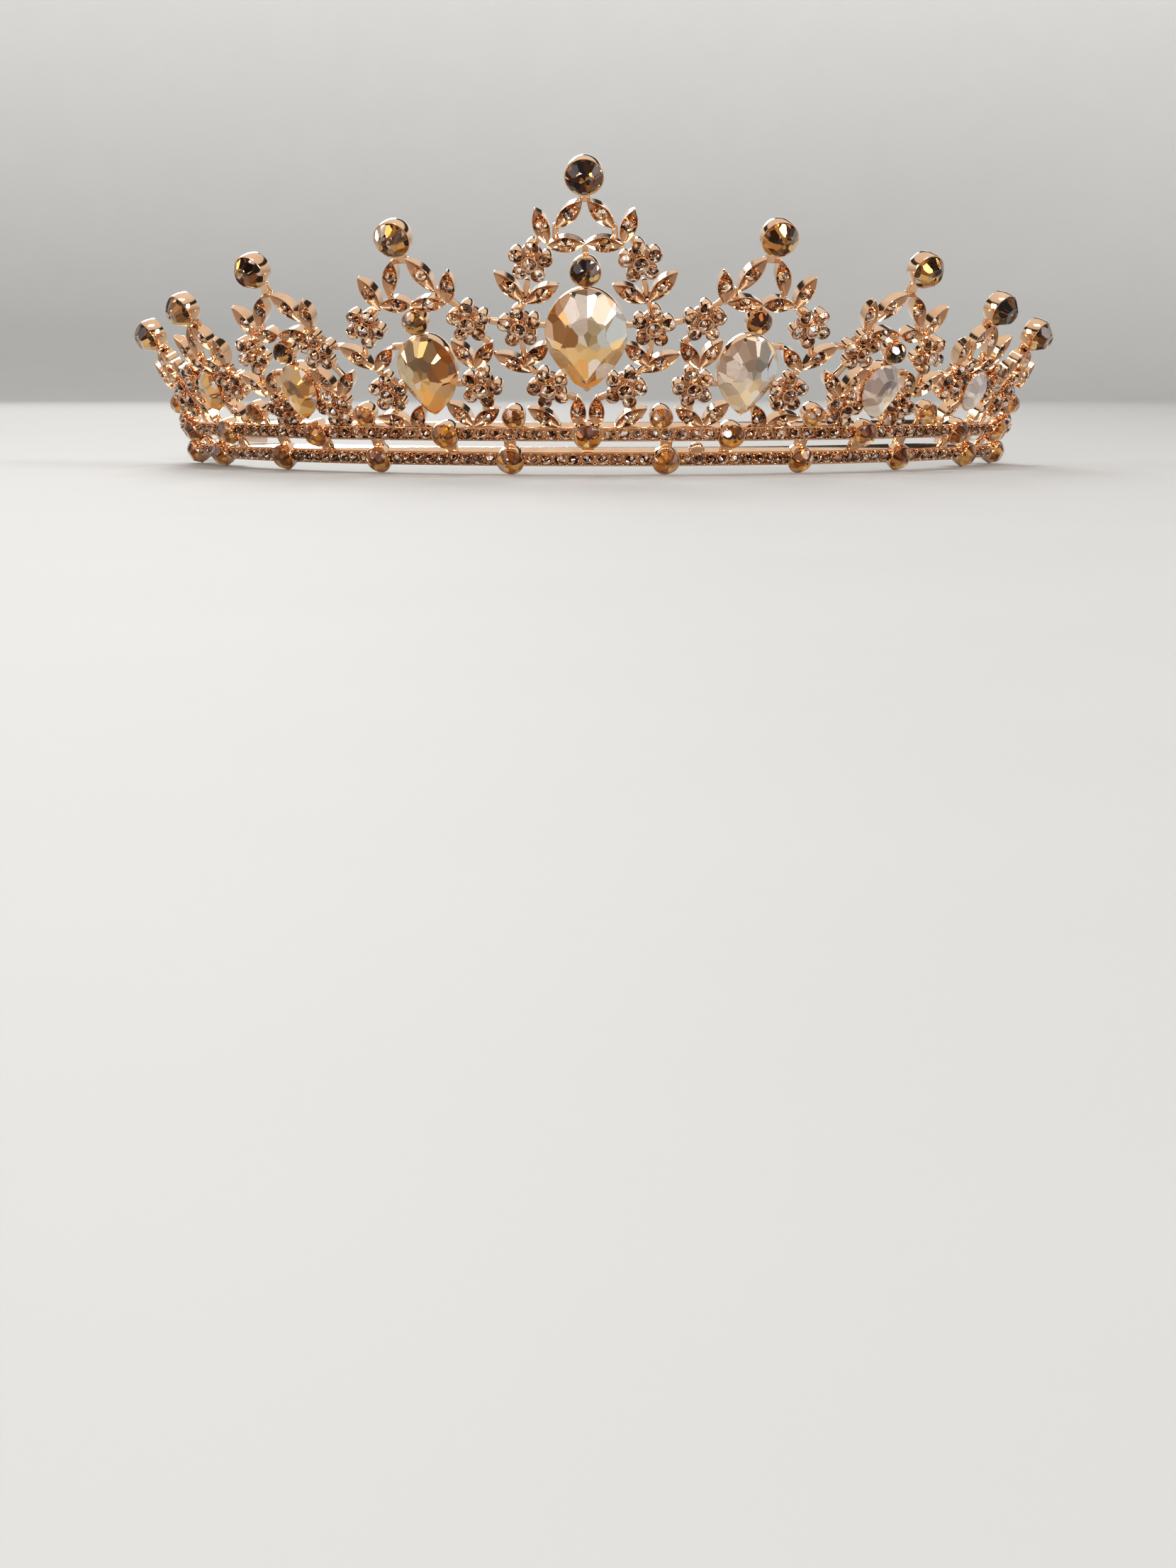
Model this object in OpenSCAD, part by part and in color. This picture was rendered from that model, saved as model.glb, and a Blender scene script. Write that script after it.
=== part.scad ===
// The crown as it stands, with its front towards -Y. Left and right are as seen from the front.

/* [Base] */
// Radius of the circle that the middle of the lower band follows
head_r = 77; // [74:1:80]
// Outward lean of the wall from the vertical, in degrees
flare = 30; // [28:1:32]
// Length along the lower band from the middle of the front to each end
band_end = 94.5; // [94:0.5:96]

/* [Bands] */
// Height of each band along the wall
band_w = 2.6; // [2.4:0.1:2.8]
// Thickness of the bands at their rims
band_t = 1.8; // [1.6:0.1:2]
// Height of the upper band's middle over the lower band's middle, along the wall
band_pitch = 4.7; // [4.6:0.1:4.9]
// Depth of the channel along each band that holds the small stones
channel_depth = 0.5; // [0.3:0.1:0.6]
// Width of each rim beside the channel
rim_w = 0.3; // [0.2:0.05:0.35]
// Width of the posts between the two bands
post_w = 2; // [1.6:0.1:2.2]

/* [Stones] */
// Diameter of the stones on the bands
band_stone_d = 4; // [3.8:0.1:4.2]
// Diameter of the stones that stand on the upper band between the motifs
spacer_stone_d = 3.3; // [3:0.1:3.4]
// Diameter of the stones in the flowers
flower_stone_d = 2; // [1.8:0.05:2.1]
// Gap between a stone and the metal around it
seat_gap = 0.05; // [0.03:0.01:0.08]
// Thickness of a cup's wall beside its stone
cup_wall = 0.3; // [0.26:0.02:0.34]

/* [Ornaments] */
// Width of a leaf at its middle
leaf_w = 2.6; // [2.4:0.1:2.8]
// Depth of the leaves from back to front
leaf_t = 2; // [1.8:0.1:2.2]
// Distance of a petal's middle from the middle of its flower
petal_ring = 2.4; // [2.3:0.05:2.5]
// Diameter of a petal
petal_d = 2.35; // [2.3:0.05:2.45]
// Depth of the flowers from back to front
flower_t = 2; // [1.8:0.1:2.2]
// Depth of the finial cups from back to front
finial_t = 2.6; // [2.4:0.1:3]
// Width of the neck under each finial cup
neck_w = 1.7; // [1.2:0.1:1.8]

/* [Side wires] */
// Height of the flat wire that runs on from each end of the bands
wire_h = 1.6; // [1.4:0.1:1.8]
// Thickness of that wire
wire_t = 0.9; // [0.8:0.05:1]
// Distance from the base circle in to the middle of the wire
wire_inset = 2.2; // [2.1:0.1:2.4]
// Angle around the head at which the wire ends, from the middle of the front
wire_end_angle = 112; // [100:1:118]

/* [Hidden] */

// Motifs from the middle of the front outwards.
// along: place on the lower band. finial: middle of the top stone, [out, up]. finial_d: its diameter.
// out is a distance along the wall away from the motif's foot, and up a height along the wall.
ALONG = 0;
FINIAL = 1;
FINIAL_D = 2;
MOTIFS = [
    [0, [0, 49.6], 5.4],
    [22.5, [1.4, 39.7], 5.4],
    [46.5, [-0.5, 34.8], 5.2],
    [69.6, [-6.2, 28.3], 5.2],
    [84.9, [-6.6, 23.7], 5.1],
];

// Pears: [motif, out, up, width, length, tilt]. up is the middle of the length.
PEARS = [
    [0, 0, 22, 12.4, 17.4, 0],
    [1, 0.5, 15.8, 9.5, 13.7, 2],
    [2, -0.5, 12.8, 6.7, 9.6, 7],
    [3, -2.2, 12.8, 4.9, 7.2, 12],
];

// Round stones above the pears: [motif, out, up, diameter]
BEADS = [
    [0, 0, 33.8, 4.4],
    [1, 0.85, 25.25, 3.8],
    [2, -0.3, 20, 3.4],
];

// Flowers: [motif, out, up, turn of the petals]
FLOWERS = [
    [0, 8.4, 35.3, 28],
    [0, 10.4, 24.1, 14],
    [0, 6, 13.2, 0],
    [1, -7.7, 25, 18],
    [1, 10.1, 24.1, 54],
    [1, -7.6, 13.3, 36],
    [1, 8.4, 12.3, 20],
    [2, -6.9, 20, 22],
    [2, 7.9, 19.3, 54],
    [2, -5.9, 9.2, 6],
    [2, 5.8, 8.9, 10],
    [3, -8.3, 14.1, 20],
    [3, 3.75, 14.5, 40],
    [4, -5.3, 10.9, 36],
];

// Single small cups at each end: [motif, out, up]
LONE_CUPS = [
    [4, 4.2, 9.3],
    [4, 3.85, 6.6],
];

// Leaves: [motif, out, up, angle, length]
LEAVES = [
    [0, 2.45, 43.1, -47, 5.9],
    [0, 6.55, 41.1, 74, 5.8],
    [0, 2.95, 38.15, -3, 5.6],
    [0, 6.8, 29.8, -29, 6],
    [0, 11.75, 31, 51, 6.4],
    [0, 7.9, 19.2, -42, 5.6],
    [0, 11.5, 17.8, 29, 6.6],
    [0, 1.45, 8.8, 90, 5.8],
    [0, 6.8, 7.8, 35, 6],
    [1, 3.6, 32.7, -71, 6.3],
    [1, -1.6, 33.1, 56, 6.6],
    [1, -5.5, 31, 99, 5.6],
    [1, 7.8, 30, 67, 6],
    [1, 3.7, 28.1, -1, 5.2],
    [1, -1.7, 28.2, -3, 5.9],
    [1, -5.8, 19.3, 58, 5.7],
    [1, -9.1, 19.2, -53, 5.6],
    [1, 8, 18.4, -45, 5.5],
    [1, 12.9, 18.8, 39, 6.5],
    [1, -3.2, 8.4, 48, 5.7],
    [1, -7.4, 7.9, -33, 5.5],
    [1, 4.3, 7.5, -65, 5.6],
    [1, 8.6, 7.2, 12, 5.8],
    [2, 1.8, 27.2, -55, 6.6],
    [2, -4, 27.9, 48, 6.4],
    [2, -7.5, 26.2, 97, 5.7],
    [2, 6.5, 25.4, 68, 6],
    [2, 2.3, 22.9, -4, 4.8],
    [2, -3.3, 22.9, -2, 6.2],
    [2, -5.7, 14.3, 54, 6],
    [2, -9.9, 13.9, -46, 6.2],
    [2, 6, 13.9, -58, 5.2],
    [2, 10.7, 13.7, 43, 6.2],
    [3, -3.2, 21.9, -66, 6.3],
    [3, -6.8, 22.7, 58, 5.2],
    [3, -9.7, 19.7, 99, 5.6],
    [3, 1.35, 20.4, 73, 5.5],
    [3, -0.8, 17.6, 0, 4.2],
    [3, -5.3, 17.4, 7, 5],
    [3, -4.9, 8.5, 55, 5.7],
    [3, 5.9, 8.9, 58, 6],
    [4, -3.3, 18, -58, 5.2],
    [4, -6.8, 18.5, 60, 4.8],
    [4, -9.2, 15.9, 98, 5.2],
    [4, 1.2, 15.6, 85, 4.8],
    [4, -3.4, 15.1, 0, 4.8],
];

// Necks that carry the finial cups: [motif, out, up, out, up]
NECKS = [
    [0, 0, 46.9, 0, 44.7],
    [1, 1.4, 37.2, 1.3, 35.2],
    [2, -0.5, 32, -0.6, 30],
    [3, -6.2, 25.9, -5.6, 24],
    [4, -6.6, 21.4, -5.3, 20.2],
];

// Short bars between neighbours: [motif, out, up, out, up]
BARS = [
    [0, 4.4, 41.2, 4.6, 38.3],
    [0, 0, 38.3, 0, 35.5],
    [0, 8.3, 37, 6.4, 39.5],
    [0, 9.6, 28.4, 10.2, 26],
    [0, 8.9, 32, 9.5, 28.6],
    [0, 6.2, 24, 8.4, 24.1],
    [0, 10.2, 21.7, 9.9, 18],
    [0, 7.6, 15, 9.4, 17],
    [0, 4.2, 12, 1.9, 10.9],
    [0, 6.9, 11, 7.4, 8.3],
    [0, 0, 31.6, 0, 30],
    [1, 0, 35.3, 2.6, 35.3],
    [1, 4.6, 30, 4.8, 28.2],
    [1, -3.2, 30.6, -3.6, 28.4],
    [1, 1, 28.2, 0.9, 27],
    [1, 0.85, 23.6, 0.6, 22],
    [1, -5.1, 28.4, -6.6, 27],
    [1, 6.2, 28, 8.6, 26.4],
    [1, -10.7, 24.7, -15.4, 24.3],
    [1, -8.5, 22.4, -10.3, 21],
    [1, -7.4, 17.4, -7.5, 16],
    [1, -4.9, 13.6, -2.3, 13.6],
    [1, -7.5, 10.6, -7.2, 8.2],
    [1, -1.6, 10.3, 0.1, 10.3],
    [1, 3.2, 9.8, 0.8, 10],
    [1, 8.6, 7.2, 8.6, 5.5],
    [1, 8.5, 9.6, 8.6, 7.4],
    [1, 10.2, 16.6, 9.4, 15],
    [1, 4.4, 20.3, 6.4, 20.2],
    [1, 10.9, 21.4, 11.8, 18.4],
    [1, 15, 20.4, 18, 20.2],
    [2, -1.8, 29.9, 0.4, 29.9],
    [2, 3.6, 24.8, 4, 22.9],
    [2, 4.2, 22.8, 5.8, 23],
    [2, -6.1, 25.7, -5.9, 23],
    [2, -0.3, 22.9, -0.2, 21.4],
    [2, -0.2, 18.6, -0.5, 17],
    [2, -6.9, 22, -7.2, 23.6],
    [2, 7.4, 22.4, 6.4, 22.8],
    [2, -7.8, 17.4, -9.6, 14.5],
    [2, -5.8, 12, -7, 12.6],
    [2, 6, 11.6, 7.4, 12],
    [2, 2.6, 15.5, 4.8, 15.6],
    [2, 8.5, 16.8, 9.2, 13.3],
    [2, 12.8, 15.6, 16.5, 14.4],
    [3, -2.4, 19.8, -1.8, 17.6],
    [3, -6.2, 21.2, -5.7, 17.4],
    [3, -8.3, 17.4, -8.2, 15.8],
    [3, 1.2, 17.8, 1.6, 16.4],
    [3, -2.9, 17.6, -2.8, 16],
    [3, -7.2, 11.8, -6.2, 10],
    [3, 4.6, 12.6, 5.4, 10.4],
    [3, -3.8, 11.4, -3.4, 12.2],
    [3, -6.2, 6.8, -6.2, 5.2],
    [3, 4.6, 7.2, 4.6, 5.2],
    [4, -2.2, 16.8, -2.8, 15.1],
    [4, -7.6, 16.8, -5, 15.1],
    [4, -8.8, 13.6, -7.4, 12.2],
    [4, 1.1, 13.8, 0.5, 11.2],
    [4, -3.4, 15.1, -4.4, 12.8],
    [4, -2.6, 10.7, -1.2, 10.2],
    [4, 1.5, 9.7, 3.4, 9.4],
    [4, 4.2, 9.3, 3.85, 6.6],
    [4, -5.3, 8.6, -5.3, 5.4],
];

// Places along the lower band of the stones on each band, and of the stones over the upper band
UPPER_STONES = [for (m = MOTIFS) m[ALONG]];
LOWER_STONES = [12.5, 35.6, 56.5, 77, 92.2];
// [along, up]
SPACER_STONES = [
    [11.1, 8.1],
    [35.6, 8.3],
    [58.7, 8.5],
    [85, 9.9],
];
// The one boss on the right half of the lower band that stands over the band's rim: [along, up]
LONE_BOSS = [17.6, 1.3];

// Distances out of the wall's middle surface
band_back = -0.8;
band_front = band_back + band_t;
leaf_back = -0.8;
flower_back = -0.6;
flower_front = flower_back + flower_t;
boss_rise = 0.7;
boss_front = flower_front + boss_rise;
cup_back = -0.5;
band_cup_front = 1.9;
spacer_cup_front = 1.8;
bead_cup_front = 1.8;
finial_cup_front = cup_back + finial_t;
pear_back = -0.7;
pear_cup_front = 1.7;
lone_boss_front = 0.8;

lone_boss_d = 2.6;
bar_w = 1;
bar_t = 0.8;
neck_t = 1.15;
post_t = 1.1;
seat_depth = 0.6;

// Length by which each leaf runs over its neighbours, and how wide it is half-way to its tips
leaf_reach = 0.4;
leaf_shoulder = 0.8;

// A flower's petals, and the directions of each petal's corners, from its outward one
petals = 5;
petal_turn = 360 / petals;
PETAL_CORNERS = [-105, -38, 38, 105];

// Pears: how much longer the outline is for each millimetre of wall round it, because of its sharp
// point, how far down it is widest as a share of its length, and its sides
point_gain = 2.3;
pear_widest = 0.43;
pear_sides = 24;

// Sides of the round forms
band_segments = 72;
ring_segments = 180;
cup_sides = 12;
boss_sides = 10;
stone_sides = 8;
fine_sides = 2 * stone_sides;

// Cut stones: share of the width that the flat table takes, and heights as shares of the width
table_share = 0.55;
girdle_share = 0.03;
crown_share = 0.24;
finial_crown_share = 0.3;
// The facets between the main ones of a fine stone run this share of the way to the table
fine_reach = 0.7;
// Girdle of a pear over its rim, and its shoulder between the girdle and the table
pear_girdle = 0.15;
shoulder_share = 0.82;
shoulder_rise = 0.6;

// Holders of the side wires behind the lower band: places along it, and sizes
lug_along = 78;
clip_along = 92.8;
holder_w = 3;
holder_h = 2.8;
holder_wall = 0.6;
// How far the holders run into the back of the band
holder_root = 0.3;
wire_clearance = 0.08;
wire_start = lug_along - holder_w;
wire_r = head_r - wire_inset;

SIDE_NAMES = ["left", "right"];
function numbered(name, count) = [for (i = [1:count]) str(name, "_", i)];
FINIAL_NAMES = numbered("finial_stone", 9);
PEAR_NAMES = numbered("pear_stone", 7);
BEAD_NAMES = numbered("bead_stone", 5);
UPPER_NAMES = numbered("upper_band_stone", 9);
LOWER_NAMES = numbered("lower_band_stone", 10);
FLOWER_NAMES = [for (side = SIDE_NAMES) str("flower_stones_", side)];
WIRE_NAMES = [for (side = SIDE_NAMES) str("side_wire_", side)];

function turn_at(along) = along / head_r * 180 / PI;
// Distance from the crown's axis at a height up the wall and a distance out from it
function wall_r(up, off = 0) = head_r + up * sin(flare) + off * cos(flare);
// Height over the base circle of such a point
function wall_z(up, off = 0) = up * cos(flare) - off * sin(flare);
// Distance from a stone's middle to its flat sides, when its corners lie on its diameter
function flat_r(d, sides) = d / 2 * cos(180 / sides);
// Place along the lower band under a point of a motif
function motif_along(m, out, up) = MOTIFS[m][ALONG] + out * head_r / wall_r(up);

// The crown rests on the lower edges of the cups on the lower band, with its origin
// under the middle of its length from the front stone's table to the ends of the side wires
lift = -wall_z(-(band_stone_d / 2 + cup_wall), band_cup_front);
front_d = MOTIFS[0][FINIAL_D];
front_y = -wall_r(MOTIFS[0][FINIAL][1] + flat_r(front_d, fine_sides) * table_share,
                  finial_cup_front + front_d * (girdle_share + finial_crown_share));
back_y = -(wire_r + wire_t / 2) * cos(wire_end_angle);
mid_y = (front_y + back_y) / 2;

module in_place()
    translate([0, -mid_y, lift])
        children();

// Puts its children on the wall: x along the wall, y up it, z out of it
module on_wall(along, up, off = 0, turn = 0)
    rotate([0, 0, turn_at(along)])
        translate([0, -wall_r(up, off), wall_z(up, off)])
            rotate([90 + flare, 0, 0])
                rotate([0, 0, turn])
                    children();

// Puts its children at a point of a motif
module in_motif(m, out, up, off = 0, turn = 0)
    on_wall(motif_along(m, out, up), up, off, turn)
        children();

// Side 0 is the left half, which is the mirrored one. The things in the middle of the front, at
// out or along 0, are made once.
module on_side(side)
    mirror([1 - side, 0, 0])
        children();

module on_sides(place)
    for (side = place == 0 ? [1] : [0, 1])
        on_side(side)
            children();

module band_section(up) {
    half = band_w / 2;
    inner = half - rim_w;
    floor_off = band_front - channel_depth;
    outline = [
        [-half, band_back], [-half, band_front], [-inner, band_front], [-inner, floor_off],
        [inner, floor_off], [inner, band_front], [half, band_front], [half, band_back],
    ];
    polygon([for (p = outline) [wall_r(up + p[0], p[1]), wall_z(up + p[0], p[1])]]);
}

module band(up)
    rotate([0, 0, -90 - turn_at(band_end)])
        rotate_extrude(angle = 2 * turn_at(band_end), $fn = band_segments)
            band_section(up);

module post(along)
    on_wall(along, band_pitch / 2)
        cube([post_w, band_pitch, post_t], center = true);

module cup(d, front)
    translate([0, 0, cup_back])
        cylinder(d = d + 2 * cup_wall, h = front - cup_back, $fn = cup_sides);

// The seat that is cut into a cup for its stone, whose flat sides clear the stone's corners
module seat(d, front)
    translate([0, 0, front - seat_depth])
        cylinder(d = (d + 2 * seat_gap) / cos(180 / cup_sides), h = 2 * seat_depth, $fn = cup_sides);

module leaf(length) {
    half = (length + leaf_reach) / 2;
    wide = leaf_w / 2;
    shoulder = wide * leaf_shoulder;
    outline = [
        [-half, 0], [-half / 2, -shoulder], [0, -wide], [half / 2, -shoulder],
        [half, 0], [half / 2, shoulder], [0, wide], [-half / 2, shoulder],
    ];
    translate([0, 0, leaf_back])
        linear_extrude(leaf_t)
            polygon(outline);
}

function direction(angle) = [cos(angle), sin(angle)];
function petal_point(petal, corner) =
    petal_ring * direction(petal * petal_turn) + petal_d / 2 * direction(petal * petal_turn + corner);

module flower()
    translate([0, 0, flower_back]) {
        linear_extrude(flower_t)
            polygon([for (petal = [0:petals - 1], corner = PETAL_CORNERS) petal_point(petal, corner)]);
        cylinder(d = petal_d, h = boss_front - flower_back, $fn = boss_sides);
    }

module lone_cup()
    translate([0, 0, flower_back])
        cylinder(d = petal_d, h = flower_t, $fn = cup_sides);

// Outline of a pear: half an ellipse above its widest place, and rounded sides to a point below
function pear_outline(width, length) =
    let (
        r = width / 2,
        head = length * pear_widest,
        foot = length - head,
        widest_y = length / 2 - head
    )
    [for (i = [0:pear_sides - 1])
        let (a = 360 * i / pear_sides - 90)
            sin(a) > 0
                ? [r * cos(a), widest_y + head * sin(a)]
                : [r * cos(a) * abs(cos(a)), widest_y + foot * sin(a)]];

// A pear's outline with a wall round it, from one depth to another
module pear_prism(p, wall, low, high)
    translate([0, 0, low])
        linear_extrude(high - low)
            polygon(pear_outline(p[3] + 2 * wall, p[4] + point_gain * wall));

// Straight bar on the wall from one point of a motif to another: row is [motif, out, up, out, up]
module bar(row, width, thickness) {
    a = [row[1], row[2]];
    b = [row[3], row[4]];
    in_motif(row[0], (a[0] + b[0]) / 2, (a[1] + b[1]) / 2, 0, atan2(b[1] - a[1], b[0] - a[0]))
        cube([norm(b - a), width, thickness], center = true);
}

module bars(rows, width, thickness)
    for (row = rows)
        on_sides(row[0] == 0 && row[1] == 0 && row[3] == 0 ? 0 : 1)
            bar(row, width, thickness);

module on_finial(m)
    in_motif(m, MOTIFS[m][FINIAL][0], MOTIFS[m][FINIAL][1])
        children();

// Part of a ring that follows the base circle, between two places along the band
module ring_part(from, to, inner, outer, height)
    rotate([0, 0, turn_at(from) - 90])
        rotate_extrude(angle = turn_at(to - from), $fn = ring_segments)
            translate([inner, -height / 2])
                square([outer - inner, height]);

// Block behind the lower band that a side wire runs through
module wire_holder(along)
    difference() {
        ring_part(along - holder_w / 2, along + holder_w / 2,
                  wire_r - wire_t / 2 - wire_clearance - holder_wall, wall_r(0, band_back) + holder_root,
                  holder_h);
        ring_part(along - holder_w, along + holder_w,
                  wire_r - wire_t / 2 - wire_clearance, wire_r + wire_t / 2 + wire_clearance,
                  wire_h + 2 * wire_clearance);
    }

// Each of these puts its children at the middles of one kind of cup, on both halves
module on_lower_stones()
    for (s = LOWER_STONES)
        on_sides(s)
            on_wall(s, 0)
                children();

module on_upper_stones()
    for (s = UPPER_STONES)
        on_sides(s)
            on_wall(s, band_pitch)
                children();

module on_spacer_stones()
    for (s = SPACER_STONES)
        on_sides(s[0])
            on_wall(s[0], s[1])
                children();

module bands() {
    band(0);
    band(band_pitch);
    for (s = concat(LOWER_STONES, UPPER_STONES))
        on_sides(s)
            post(s);
    on_lower_stones() cup(band_stone_d, band_cup_front);
    on_upper_stones() cup(band_stone_d, band_cup_front);
    on_wall(LONE_BOSS[0], LONE_BOSS[1])
        translate([0, 0, cup_back])
            cylinder(d = lone_boss_d, h = lone_boss_front - cup_back, $fn = cup_sides);
}

module spacers() {
    on_spacer_stones() cup(spacer_stone_d, spacer_cup_front);
    for (s = SPACER_STONES)
        on_sides(s[0])
            on_wall(s[0], (s[1] + band_pitch) / 2)
                cube([bar_w, s[1] - band_pitch, bar_t], center = true);
}

module finials() {
    for (m = [0:len(MOTIFS) - 1])
        on_sides(m)
            on_finial(m) cup(MOTIFS[m][FINIAL_D], finial_cup_front);
    bars(NECKS, neck_w, neck_t);
}

module pear_bezels()
    for (p = PEARS)
        on_sides(p[0])
            in_motif(p[0], p[1], p[2], 0, p[5])
                pear_prism(p, cup_wall, pear_back, pear_cup_front);

module bead_cups()
    for (b = BEADS)
        on_sides(b[0])
            in_motif(b[0], b[1], b[2]) cup(b[3], bead_cup_front);

module flowers() {
    for (f = FLOWERS)
        on_sides(1)
            in_motif(f[0], f[1], f[2], 0, f[3]) flower();
    for (c = LONE_CUPS)
        on_sides(1)
            in_motif(c[0], c[1], c[2]) lone_cup();
}

module leaves()
    for (l = LEAVES)
        on_sides(1)
            in_motif(l[0], l[1], l[2], 0, l[3]) leaf(l[4]);

module wire_holders()
    for (s = [lug_along, clip_along])
        on_sides(s)
            wire_holder(s);

module seats() {
    on_lower_stones() seat(band_stone_d, band_cup_front);
    on_upper_stones() seat(band_stone_d, band_cup_front);
    on_spacer_stones() seat(spacer_stone_d, spacer_cup_front);
    for (m = [0:len(MOTIFS) - 1])
        on_sides(m)
            on_finial(m) seat(MOTIFS[m][FINIAL_D], finial_cup_front);
    for (b = BEADS)
        on_sides(b[0])
            in_motif(b[0], b[1], b[2]) seat(b[3], bead_cup_front);
    for (p = PEARS)
        on_sides(p[0])
            in_motif(p[0], p[1], p[2], 0, p[5])
                pear_prism(p, seat_gap, pear_cup_front - seat_depth, pear_cup_front + seat_depth);
}

module frame()
    color("rosybrown")
        in_place()
            difference() {
                union() {
                    bands();
                    spacers();
                    finials();
                    pear_bezels();
                    bead_cups();
                    flowers();
                    leaves();
                    bars(BARS, bar_w, bar_t);
                    wire_holders();
                }
                seats();
            }

// Outline of a cut stone from the side, from its flat back up past the girdle to the table
module stone_profile(d, sides, back, crown, table) {
    r = flat_r(d, sides);
    girdle = d * girdle_share;
    top = d * (girdle_share + crown);
    polygon([[-r, back], [r, back], [r, girdle], [r * table, top], [-r * table, top], [-r, girdle]]);
}

// Stone with a table and eight facets, as high over its cup's rim as the girdle and the crown
module round_stone(d, sides = stone_sides, back = seat_gap - seat_depth, crown = crown_share,
                   table = table_share)
    intersection_for (a = [0:360 / stone_sides:179])
        rotate([90, 0, a])
            linear_extrude(2 * d, center = true)
                stone_profile(d, sides, back, crown, table);

// Stone with a table, eight main facets and eight smaller ones between them at the girdle
module fine_stone(d)
    intersection() {
        round_stone(d, fine_sides, crown = finial_crown_share);
        rotate([0, 0, 360 / fine_sides])
            round_stone(d, fine_sides, crown = finial_crown_share,
                        table = 1 - (1 - table_share) * fine_reach);
    }

module pear_stone_body(width, length) {
    outline = pear_outline(width, length);
    count = len(outline);
    crown = width * crown_share;
    rings = [
        [1, seat_gap - seat_depth], [1, pear_girdle],
        [shoulder_share, pear_girdle + crown * shoulder_rise], [table_share, pear_girdle + crown],
    ];
    top = (len(rings) - 1) * count;
    points = [for (r = rings, p = outline) [p[0] * r[0], p[1] * r[0], r[1]]];
    sides = [for (k = [0:len(rings) - 2], i = [0:count - 1])
        let (n = (i + 1) % count)
            [k * count + i, (k + 1) * count + i, (k + 1) * count + n, k * count + n]];
    polyhedron(points, concat([[for (i = [0:count - 1]) i]], sides, [[for (i = [count - 1:-1:0]) top + i]]));
}

// Side of the stone in place i of a row that is counted from one end, and its place from the middle
function row_side(i, count) = i < floor(count / 2) ? 0 : 1;
function row_place(i, count) = i < floor(count / 2) ? ceil(count / 2) - 1 - i : i - floor(count / 2);

module finial_stone(i) {
    m = row_place(i, len(FINIAL_NAMES));
    color("peru")
        in_place()
            on_side(row_side(i, len(FINIAL_NAMES)))
                on_finial(m)
                    translate([0, 0, finial_cup_front])
                        fine_stone(MOTIFS[m][FINIAL_D]);
}

module pear_stone(i) {
    p = PEARS[row_place(i, len(PEAR_NAMES))];
    color("wheat")
        in_place()
            on_side(row_side(i, len(PEAR_NAMES)))
                in_motif(p[0], p[1], p[2], pear_cup_front, p[5])
                    pear_stone_body(p[3], p[4]);
}

module bead_stone(i) {
    b = BEADS[row_place(i, len(BEAD_NAMES))];
    color("peru")
        in_place()
            on_side(row_side(i, len(BEAD_NAMES)))
                in_motif(b[0], b[1], b[2], bead_cup_front)
                    fine_stone(b[3]);
}

module band_stone(side, along, up)
    color("goldenrod")
        in_place()
            on_side(side)
                on_wall(along, up, band_cup_front)
                    round_stone(band_stone_d);

module spacer_stones()
    color("goldenrod")
        in_place()
            on_spacer_stones()
                translate([0, 0, spacer_cup_front])
                    round_stone(spacer_stone_d);

module small_stone(height)
    translate([0, 0, height])
        round_stone(flower_stone_d, back = seat_gap);

// The small stones on one side: five on each flower's petals, one on its boss, and one on each lone cup
module flower_stones(side)
    color("lightsalmon")
        in_place()
            on_side(side) {
                for (f = FLOWERS)
                    in_motif(f[0], f[1], f[2], 0, f[3]) {
                        for (petal = [0:petals - 1])
                            rotate([0, 0, petal * petal_turn])
                                translate([petal_ring, 0, 0])
                                    small_stone(flower_front);
                        small_stone(boss_front);
                    }
                for (c = LONE_CUPS)
                    in_motif(c[0], c[1], c[2])
                        small_stone(flower_front);
            }

module side_wire(side)
    color("silver")
        in_place()
            on_side(side)
                ring_part(wire_start, wire_end_angle * PI / 180 * head_r,
                          wire_r - wire_t / 2, wire_r + wire_t / 2, wire_h);

frame();
for (i = [0:len(FINIAL_NAMES) - 1])
    finial_stone(i);
for (i = [0:len(PEAR_NAMES) - 1])
    pear_stone(i);
for (i = [0:len(BEAD_NAMES) - 1])
    bead_stone(i);
for (i = [0:len(UPPER_NAMES) - 1])
    band_stone(row_side(i, len(UPPER_NAMES)), UPPER_STONES[row_place(i, len(UPPER_NAMES))], band_pitch);
for (i = [0:len(LOWER_NAMES) - 1])
    band_stone(row_side(i, len(LOWER_NAMES)), LOWER_STONES[row_place(i, len(LOWER_NAMES))], 0);
spacer_stones();
for (side = [0, 1]) {
    flower_stones(side);
    side_wire(side);
}
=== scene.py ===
# %% [markdown]
# A rhinestone crown, modelled as a jeweller would make it: a casting of bands, leaves, flowers and
# cups, with cut stones set into it and a flat wire behind each end. Everything is modelled in
# millimetres at the origin, as on a bench, and is then put in its place on the leaning wall of the
# crown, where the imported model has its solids. This first cell loads those solids.

# %% Load the frame
import math

import bmesh
import bpy
import numpy as np
from mathutils import Matrix, Vector


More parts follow.
